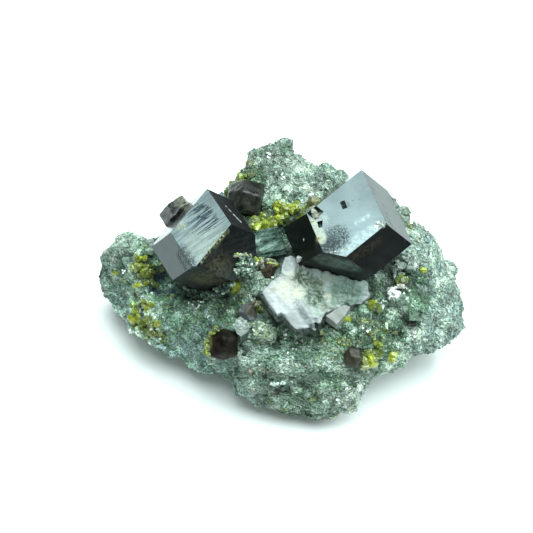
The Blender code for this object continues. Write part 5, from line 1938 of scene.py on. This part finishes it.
@dataclass
class Glints:
    """Small white grains that catch the light: their white is partly a painted highlight for the
    glints on the rock.
    """
    rock: bpy.types.Mesh
    size: float = 0.31
    spacing: float = 0.3
    rise: float = 0.3
    shape: Vec = (1.0, 0.8, 0.6)
    tint: tuple[float, float, float, float] = (0.80, 0.84, 0.82, 0.15)

    def build(self) -> None:
        """Makes the grains."""
        rng = np.random.default_rng(SEED + 3)
        spots, normals = sample(self.rock, self.spacing, rng)
        picked: list[int] = []
        for centre, radius, count in GLINTS:
            away = np.linalg.norm(spots - centre, axis=1)
            picked += list(pick((away < radius) & (normals[:, 2] > 0.0), count, rng))
        size = self.size * rng.uniform(0.7, 1.3, len(picked))
        middles = spots[picked] + normals[picked] * (size * self.rise)[:, None]
        corners, faces = grow(Form.BLOCK, middles, np.outer(size, self.shape),
                              random_turns(len(picked), rng), 0.12, rng)
        tint = np.tile(self.tint, (len(corners), 1))
        make_piece("glints", build_mesh("glints", corners, faces, tint),
                   GrainFinish("pale_glints").material())


@dataclass(frozen=True)
class Bed:
    """Fibres that lie side by side along a line on the rock."""
    start: Vec
    end: Vec
    width: float
    count: int
    length: float
    colour: Vec


ASH_FIBRE = (0.235, 0.300, 0.250)
SAGE_FIBRE = (0.150, 0.225, 0.165)
FERN_FIBRE = (0.060, 0.115, 0.072)
BEDS = (
    Bed((6.4, -14.2, 9.9), (10.9, -14.2, 6.6), 0.50, 60, 1.7, ASH_FIBRE),
    Bed((6.0, -14.9, 9.6), (9.9, -15.0, 6.6), 0.50, 40, 1.5, FERN_FIBRE),
    Bed((1.4, -14.0, 9.4), (7.3, -16.2, 6.6), 0.50, 70, 1.6, ASH_FIBRE),
    Bed((2.7, -13.4, 9.9), (7.2, -15.4, 8.0), 0.60, 60, 1.5, FERN_FIBRE),
    Bed((4.0, -15.6, 8.2), (7.4, -16.4, 6.4), 0.45, 34, 1.4, SAGE_FIBRE),
    Bed((7.5, -16.4, 6.8), (9.6, -15.9, 6.8), 0.35, 26, 1.1, ASH_FIBRE),
    Bed((9.8, -16.2, 6.4), (10.2, -17.1, 3.8), 0.40, 26, 1.1, ASH_FIBRE),
    Bed((-4.6, -11.9, 8.6), (0.4, -14.0, 9.4), 1.30, 70, 1.0, ASH_FIBRE),
    Bed((-5.0, -13.0, 6.2), (-1.4, -13.6, 9.0), 1.30, 80, 1.0, SAGE_FIBRE),
    Bed((-2.3, -15.0, 6.6), (3.4, -15.2, 8.8), 1.20, 80, 1.1, SAGE_FIBRE),
    Bed((-1.6, -13.4, 9.3), (2.7, -11.8, 9.6), 1.00, 60, 1.0, FERN_FIBRE),
    Bed((1.0, -16.4, 5.4), (5.0, -17.2, 4.4), 0.90, 50, 1.0, SAGE_FIBRE),
    Bed((2.6, -11.4, 9.5), (6.8, -12.6, 10.3), 0.80, 50, 1.1, SAGE_FIBRE),
)


@dataclass
class Fibres:
    """The fine blades of the front lobe, laid over its grains."""
    rock: bpy.types.Mesh
    thick: float = 0.14
    lift: float = 0.14
    stray: float = 0.34
    spacing: float = 0.22

    def build(self) -> None:
        """Makes the blades."""
        rng = np.random.default_rng(SEED + 9)
        spots, normals = sample(self.rock, self.spacing, rng)
        heap = Heap()
        for bed in BEDS:
            way = np.array(bed.end) - np.array(bed.start)
            picked = pick(off_line(spots, bed.start, bed.end) < bed.width, bed.count, rng)
            count = len(picked)
            turns = lay_along(normals[picked], np.tile(way / np.linalg.norm(way), (count, 1)),
                              self.stray, rng)
            shape = np.stack((bed.length * rng.uniform(0.5, 1.3, count),
                              self.thick * rng.uniform(0.6, 1.4, count),
                              self.thick * rng.uniform(0.6, 1.2, count)), axis=1)
            middles = spots[picked] + normals[picked] * self.lift
            points, triangles = grow(Form.BLOCK, middles, shape, turns, 0.10, rng)
            colour = np.array(bed.colour) * np.exp(rng.normal(0.0, 0.22, (count, 1)))
            rough = rng.uniform(0.3, 0.6, (count, 1))
            tint = np.concatenate((np.clip(colour, 0.0, 0.8), rough), axis=1)
            heap.add(points, triangles, per_corner(Form.BLOCK, tint))
        make_piece("rock_fibres", heap.build("rock_fibres"), GrainFinish("skarn_fibres").material())


@dataclass
class Sugar:
    """Lumps that are made of small grains."""
    nodes: dict[str, bpy.types.Object]
    spacing: float = 0.34
    colours: tuple[tuple[str, tuple[Vec, ...]], ...] = (
        ("calcite_lump", ((0.29, 0.36, 0.28), (0.15, 0.21, 0.15), (0.23, 0.275, 0.16),
                          (0.37, 0.42, 0.35), (0.12, 0.18, 0.125))),
        ("white_grains", ((0.62, 0.64, 0.63), (0.66, 0.66, 0.64), (0.50, 0.54, 0.51),
                          (0.10, 0.15, 0.11))))
    white_middle: Vec = (14.9, -6.2, 15.0)      # round this the bright grains lie
    white_reach: float = 0.95
    core_voxel: float = 0.14
    core_depth: float = 0.14
    core_shade: float = 0.7
    margin: float = 0.12                        # how far grains may pass the solid's box
    shape: Vec = (1.2, 1.0, 0.8)
    sizes: tuple[float, float] = (0.30, 0.62)
    sunk: float = 0.30
    rough: float = 0.35

    def build(self) -> None:
        """Makes each lump: its own form a little shrunk, and grains over it."""
        material = GrainFinish("sugary_lumps").material()
        for name, colours in self.colours:
            rng = np.random.default_rng(SEED + 4)
            core = remesh(self.nodes[name], self.core_voxel)
            spots, normals = sample(core, self.spacing, rng)
            inner, triangles = core_of(core, self.core_depth)
            size = rng.uniform(*self.sizes, len(spots))
            middles = spots - normals * (size * self.sunk)[:, None]
            corners, faces = grow(Form.BLOCK, middles, np.outer(size, self.shape),
                                  random_turns(len(spots), rng), 0.14, rng)
            choice = rng.integers(0, len(colours), len(spots))
            if name == "white_grains":
                away = np.linalg.norm(spots - self.white_middle, axis=1)
                choice = np.where(away < self.white_reach, choice % 3, 3)
            rough = np.full((len(spots), 1), self.rough)
            tint = np.concatenate((np.array(colours)[choice], rough), axis=1)
            under = (*(np.array(colours[-1]) * self.core_shade), 0.5)
            heap = Heap()
            heap.add(inner, triangles, np.tile(under, (len(inner), 1)))
            heap.add(kept_near(name, corners, self.margin), faces, per_corner(Form.BLOCK, tint))
            make_piece(name + "_sugar", heap.build(name + "_sugar"), material, [name])


@dataclass(frozen=True)
class Crumb:
    """A single small grain with a place of its own."""
    centre: Vec
    size: Vec
    colour: Vec
    gloss: float = 0.4


@dataclass(frozen=True)
class Trail:
    """A broken line of crumbs."""
    start: Vec
    end: Vec
    count: int
    spread: float               # how far they stray from the line (mm)
    size: float
    colours: tuple[Vec, ...]

    def crumbs(self, rng: np.random.Generator) -> list[Crumb]:
        """Its crumbs.

        Args:
            rng: the source of chance.

        Returns:
            The crumbs, along the line.
        """
        made: list[Crumb] = []
        for share in rng.random(self.count):
            spot = np.array(self.start) * (1 - share) + np.array(self.end) * share
            spot = spot + rng.normal(0, self.spread, 3)
            size = self.size * rng.uniform(0.55, 1.45) * rng.uniform(0.75, 1.25, 3)
            colour = np.array(self.colours[rng.integers(len(self.colours))]) * rng.uniform(0.75, 1.2)
            made.append(Crumb(tuple(spot), tuple(size), tuple(colour)))
        return made


CREAMY = (0.26, 0.275, 0.20)
ASHEN = (0.24, 0.27, 0.22)
CHALK = (0.60, 0.63, 0.62)
STONE_CRUMBS = (
    Crumb((4.6, -0.2, 23.3), (1.0, 1.4, 0.8), (0.11, 0.12, 0.085)),
    Crumb((4.7, 1.1, 22.9), (1.7, 1.6, 1.2), (0.20, 0.23, 0.185)),
    Crumb((5.5, 0.6, 23.3), (0.9, 0.8, 0.5), (0.17, 0.20, 0.165)),
    Crumb((4.5, 2.7, 22.7), (1.8, 1.6, 1.5), (0.085, 0.088, 0.026), 0.3),
    Crumb((15.9, -4.6, 14.2), (1.0, 0.9, 0.8), (0.52, 0.50, 0.46)),
    Crumb((15.2, -4.9, 14.2), (0.5, 0.5, 0.5), (0.48, 0.49, 0.45)),
    Crumb((12.9, -2.2, 24.2), (0.8, 0.7, 0.6), ASHEN),
    Crumb((12.3, -2.6, 24.0), (0.6, 0.5, 0.5), ASHEN),
    Crumb((13.4, -1.9, 24.1), (0.6, 0.5, 0.5), (0.12, 0.14, 0.12)),
    Crumb((12.4, -1.9, 24.4), (0.5, 0.35, 0.3), CHALK),
    # painted highlight: a white sliver for a glint on the right garnet's left face
    Crumb((3.1, -1.8, 20.5), (0.12, 0.14, 0.75), CHALK),
    Crumb((2.6, -3.0, 17.9), (0.75, 0.6, 1.2), (0.42, 0.45, 0.44)),
    Crumb((-15.2, 2.6, 15.6), (0.7, 0.7, 0.9), (0.13, 0.13, 0.045)),
)
LEMON = (0.28, 0.33, 0.045)
SALLOW = (0.12, 0.155, 0.045)
EPIDOTE_CRUMBS = (
    Crumb((-9.2, -11.9, 10.6), (0.9, 0.8, 1.0), LEMON),
    Crumb((-9.3, -11.1, 10.2), (0.8, 0.8, 0.9), SALLOW),
    Crumb((-9.0, -12.8, 10.2), (0.8, 0.7, 0.8), SALLOW),
    Crumb((-8.9, -10.3, 11.4), (0.7, 0.6, 0.7), LEMON),
    Crumb((-8.3, -9.8, 12.3), (0.6, 0.5, 0.5), SALLOW),
    Crumb((19.3, -0.9, 12.5), (0.9, 0.8, 0.7), LEMON),
    Crumb((-4.6, -6.6, 12.9), (0.6, 0.5, 0.5), SALLOW),
    Crumb((-2.4, -7.0, 12.4), (0.7, 0.5, 0.6), SALLOW),
)


SPRING = (0.17, 0.245, 0.175)
# painted shade: near-black for the shade in small holes of the front lobe
HOLE_SHADE = (0.006, 0.010, 0.007)
BARK = (0.25, 0.20, 0.145)
ROCK_CHUNKS = (
    Crumb((-1.9, -14.7, 7.9), (0.55, 0.5, 0.35), HOLE_SHADE),
    Crumb((-0.9, -14.5, 8.5), (0.8, 0.5, 0.35), HOLE_SHADE),
    Crumb((-1.1, -15.1, 8.0), (0.6, 0.45, 0.35), HOLE_SHADE),
    Crumb((-0.2, -15.5, 8.0), (0.5, 0.4, 0.35), HOLE_SHADE),
    Crumb((-3.7, -13.9, 8.0), (0.7, 0.55, 0.45), BARK),
    Crumb((-2.2, -14.2, 9.1), (0.7, 0.5, 0.45), BARK),
    Crumb((-1.4, -14.4, 8.8), (0.5, 0.4, 0.35), BARK),
    Crumb((20.0, -9.3, 7.9), (1.4, 1.1, 1.0), SPRING),
    Crumb((13.4, -5.6, 13.9), (1.3, 1.1, 0.9), (0.12, 0.19, 0.155)),
    Crumb((-18.7, 2.4, 13.2), (1.7, 1.2, 1.0), SPRING),
    Crumb((-17.4, 1.6, 13.3), (1.5, 1.0, 0.9), SPRING),
    Crumb((-22.2, 3.2, 11.9), (1.3, 1.1, 0.9), SPRING),
    Crumb((-20.6, 2.0, 12.6), (1.0, 0.9, 0.8), SPRING),
    Crumb((7.0, -12.2, 10.4), (1.2, 1.0, 0.8), (0.17, 0.22, 0.13)),
    Crumb((5.4, -8.6, 12.6), (1.0, 0.9, 0.7), SPRING),
    Crumb((11.0, -7.0, 13.6), (1.2, 1.0, 0.8), SPRING),
)
FELT = tuple(LETTERS[letter].value for letter in "PGGNNNWDD")
SHADE_GRAINS = tuple(LETTERS[letter].value for letter in "NNDDDG")
ROCK_TRAILS = (
    # painted shade: dark grains along the left garnet's lower edge, for the shade under it
    Trail((-12.4, -3.2, 11.2), (-10.0, -4.6, 12.3), 110, 0.34, 0.42, SHADE_GRAINS),
    Trail((-10.0, -4.6, 12.3), (-8.4, -5.0, 13.2), 90, 0.32, 0.42, SHADE_GRAINS),
    Trail((-8.6, -5.0, 13.2), (-7.3, -5.5, 14.9), 90, 0.32, 0.42, SHADE_GRAINS),
    Trail((-7.3, -5.5, 15.0), (-6.4, -5.9, 16.8), 60, 0.26, 0.36, SHADE_GRAINS),
    Trail((-5.1, -3.7, 19.2), (-5.3, -4.8, 17.9), 150, 0.26, 0.32, FELT),
    Trail((-4.6, -3.5, 18.9), (-4.7, -4.6, 17.3), 190, 0.30, 0.34, FELT),
    Trail((-4.0, -3.2, 18.3), (-4.2, -4.2, 16.4), 190, 0.32, 0.34, FELT),
    Trail((-3.7, -2.8, 17.2), (-3.8, -3.8, 15.0), 150, 0.34, 0.34, FELT),
    Trail((-3.4, -7.0, 12.9), (-2.9, -5.2, 11.0), 26, 0.25, 0.38,
          ((0.10, 0.06, 0.03), (0.045, 0.033, 0.02), (0.28, 0.29, 0.17))),
    Trail((-0.9, -16.0, 7.0), (0.7, -15.9, 7.3), 30, 0.15, 0.45, (HOLE_SHADE, (0.030, 0.060, 0.045))),
    Trail((-1.0, -15.8, 7.9), (0.6, -15.7, 8.0), 22, 0.08, 0.34, ((0.40, 0.48, 0.43),)),
    Trail((-5.6, -10.4, 9.6), (-5.2, -12.6, 8.8), 24, 0.22, 0.45, FELT),
    Trail((-18.5, -4.4, 8.4), (-16.6, -6.8, 7.0), 26, 0.45, 0.42, FELT),
)
STONE_TRAILS = (
    Trail((4.1, -1.2, 23.1), (5.2, -3.9, 22.85), 14, 0.13, 0.32, (CREAMY, ASHEN, (0.28, 0.25, 0.12))),
    Trail((6.2, -5.5, 22.85), (8.9, -5.2, 23.2), 12, 0.10, 0.26, (CHALK, ASHEN)),
    Trail((12.2, -2.6, 24.1), (13.4, -1.9, 24.2), 9, 0.14, 0.30, (ASHEN, CHALK, (0.06, 0.07, 0.06))),
    Trail((-6.9, -2.7, 23.2), (-10.1, -6.3, 21.9), 16, 0.07, 0.24, (OLIVE_SKIN, (0.14, 0.15, 0.07))),
    Trail((-3.4, -1.9, 15.8), (-1.0, -2.2, 15.4), 12, 0.30, 0.40, ((0.12, 0.08, 0.05), ASHEN)),
)
EPIDOTE_TRAILS = (
    Trail((-5.9, -3.8, 20.2), (-4.0, -3.2, 18.9), 26, 0.14, 0.34, (LEMON, SALLOW, ASHEN)),
    Trail((-9.7, -11.3, 10.8), (-8.1, -10.1, 12.3), 20, 0.15, 0.36, (LEMON, SALLOW, SALLOW)),
    Trail((-3.9, -2.6, 17.0), (-3.0, -1.8, 16.0), 12, 0.24, 0.44, (LEMON, SALLOW)),
    Trail((-3.2, -1.8, 15.8), (-0.5, -1.7, 15.3), 26, 0.24, 0.46, (LEMON, LEMON, SALLOW, ASHEN)),
    Trail((-9.4, -12.2, 9.8), (-9.0, -10.8, 11.2), 14, 0.24, 0.78, (LEMON, SALLOW, SALLOW)),
)


@dataclass
class Crumbs:
    """Crumbs on the crystals or on the rock, as one piece."""
    name: str
    crumbs: Sequence[Crumb]
    trails: Sequence[Trail]
    slot: str

    def build(self) -> None:
        """Makes them."""
        rng = np.random.default_rng(SEED + 5)
        crumbs = list(self.crumbs)
        for trail in self.trails:
            crumbs += trail.crumbs(rng)
        spots = np.array([crumb.centre for crumb in crumbs])
        sizes = np.array([crumb.size for crumb in crumbs])
        turns = np.tile(np.eye(3), (len(spots), 1, 1))
        corners, faces = grow(Form.NUGGET, spots, sizes, turns, 0.10, rng)
        tint = np.array([(*crumb.colour, crumb.gloss) for crumb in crumbs])
        mesh = build_mesh(self.name, corners, faces, per_corner(Form.NUGGET, tint))
        make_piece(self.name, mesh, GrainFinish(self.name).material())


# ------------------------------------------------------------------ studio
@dataclass(frozen=True)
class Lamp:
    """A round soft lamp."""
    name: str
    toward: Vec             # direction from the specimen
    distance: float         # mm
    radius: float           # mm
    radiance: float
    colour: Vec = (0.86, 1.0, 0.985)

    def build(self, target: Vector) -> None:
        """Hangs the lamp.

        Args:
            target: point that it faces (mm).
        """
        data = bpy.data.lights.new(self.name, "AREA")
        data.shape = "DISK"
        data.size = 2 * self.radius * MM
        data.energy = self.radiance * math.pi * math.pi * (self.radius * MM) ** 2
        data.color = self.colour
        lamp = bpy.data.objects.new(self.name, data)
        heading = Vector(self.toward).normalized()
        lamp.location = (target + heading * self.distance) * MM
        lamp.rotation_euler = heading.to_track_quat("Z", "Y").to_euler()
        lamp.visible_camera = False
        bpy.context.scene.collection.objects.link(lamp)


@dataclass
class Studio:
    """Floor, lamps, surroundings and camera."""
    target: Vec = (-1.684, 2.112, 9.0)
    elevation: float = 55.0
    lens: float = 100.0
    sensor: float = 36.0
    frame: int = 533
    scale: float = 7.32         # pixels to the millimetre at the target
    near_floor: float = 105.0
    far_floor: float = 1500.0
    floor_level: float = -0.02
    floor_steps: int = 96
    ambient: Vec = (0.38, 0.44, 0.435)
    mirrored: Vec = (0.03, 0.035, 0.04)
    backdrop: Vec = (1.0, 1.0, 1.0)
    lamps: tuple[Lamp, ...] = (
        Lamp("soft_box", (0.08, 0.22, 0.97), 360.0, 215.0, 5.8),
        Lamp("side_fill", (0.72, -0.10, 0.68), 420.0, 120.0, 8.0),
        Lamp("key", (0.42, 0.42, 0.80), 500.0, 28.0, 60.0),
    )

    def camera(self) -> None:
        """Sets the camera up."""
        data = bpy.data.cameras.new("camera")
        data.lens = self.lens
        data.sensor_width = self.sensor
        data.clip_start = MM
        distance = self.frame / self.scale * self.lens / self.sensor
        tilt = math.radians(self.elevation)
        camera = bpy.data.objects.new("camera", data)
        back = Vector((0.0, -math.cos(tilt), math.sin(tilt)))
        camera.location = (Vector(self.target) + back * distance) * MM
        camera.rotation_euler = (math.pi / 2 - tilt, 0.0, 0.0)
        bpy.context.scene.collection.objects.link(camera)
        bpy.context.scene.camera = camera

    def floor(self) -> None:
        """Lays a round board and, round it, a wider one that gloss doesn't see."""
        material = FloorFinish().material()
        steps = self.floor_steps
        angles = np.arange(steps) * math.tau / steps
        ring = np.stack((np.cos(angles), np.sin(angles), np.zeros(steps)), axis=1)
        level = np.array((0.0, 0.0, self.floor_level))
        inner = np.concatenate((level[None], ring * self.near_floor + level))
        fan = np.array([(0, 1 + step, 1 + (step + 1) % steps) for step in range(steps)])
        outer = np.concatenate((ring * self.near_floor, ring * self.far_floor)) + level
        band = np.array([(step, steps + step, steps + (step + 1) % steps, (step + 1) % steps)
                         for step in range(steps)])
        for name, points, faces in (("floor_near", inner, fan), ("floor_far", outer, band)):
            board = bpy.data.objects.new(name, build_mesh(name, points, faces))
            board.data.materials.append(material)
            bpy.context.scene.collection.objects.link(board)
            board.visible_glossy = name == "floor_near"

    def surroundings(self) -> None:
        """Pale surroundings that gloss sees almost black."""
        world = bpy.data.worlds.new("surroundings")
        bpy.context.scene.world = world
        world.use_nodes = True
        tree = world.node_tree
        ray = tree.nodes.new("ShaderNodeLightPath")
        last = None
        for kind, colour in (("Is Glossy Ray", self.mirrored), ("Is Camera Ray", self.backdrop)):
            blend = tree.nodes.new("ShaderNodeMix")
            blend.data_type = "RGBA"
            blend.inputs[7].default_value = (*colour, 1.0)
            blend.inputs[6].default_value = (*self.ambient, 1.0)
            if last is not None:
                tree.links.new(last.outputs[2], blend.inputs[6])
            tree.links.new(ray.outputs[kind], blend.inputs[0])
            last = blend
        tree.links.new(last.outputs[2], tree.nodes["Background"].inputs["Color"])

    def build(self) -> None:
        """Sets the studio up."""
        self.floor()
        self.surroundings()
        for lamp in self.lamps:
            lamp.build(Vector(self.target))
        self.camera()
        bpy.context.scene.view_settings.view_transform = "Standard"


def main() -> None:
    """Loads the frame and dresses it."""
    logging.basicConfig(level=logging.INFO, format="%(name)s %(message)s")
    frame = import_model()
    nodes = frame["nodes"]
    crystals = tree_of([node for name, node in nodes.items() if name != "matrix"])
    body = Rock(nodes["matrix"], crystals).build()
    LargeGarnets(nodes).build()
    SmallGarnets(nodes).build()
    Calcite(nodes).build()
    Prism(nodes["striated_prism"]).build()
    ClearGrains(nodes["quartz_cluster"]).build()
    Epidote(nodes, body).build()
    Glints(body).build()
    Fibres(body).build()
    Sugar(nodes).build()
    Crumbs("stone_crumbs", STONE_CRUMBS, STONE_TRAILS, "calcite").build()
    Crumbs("epidote_crumbs", EPIDOTE_CRUMBS, EPIDOTE_TRAILS, "epidote").build()
    Crumbs("rock_chunks", ROCK_CHUNKS, ROCK_TRAILS, "rock").build()
    Studio().build()


if __name__ == "__main__":
    main()
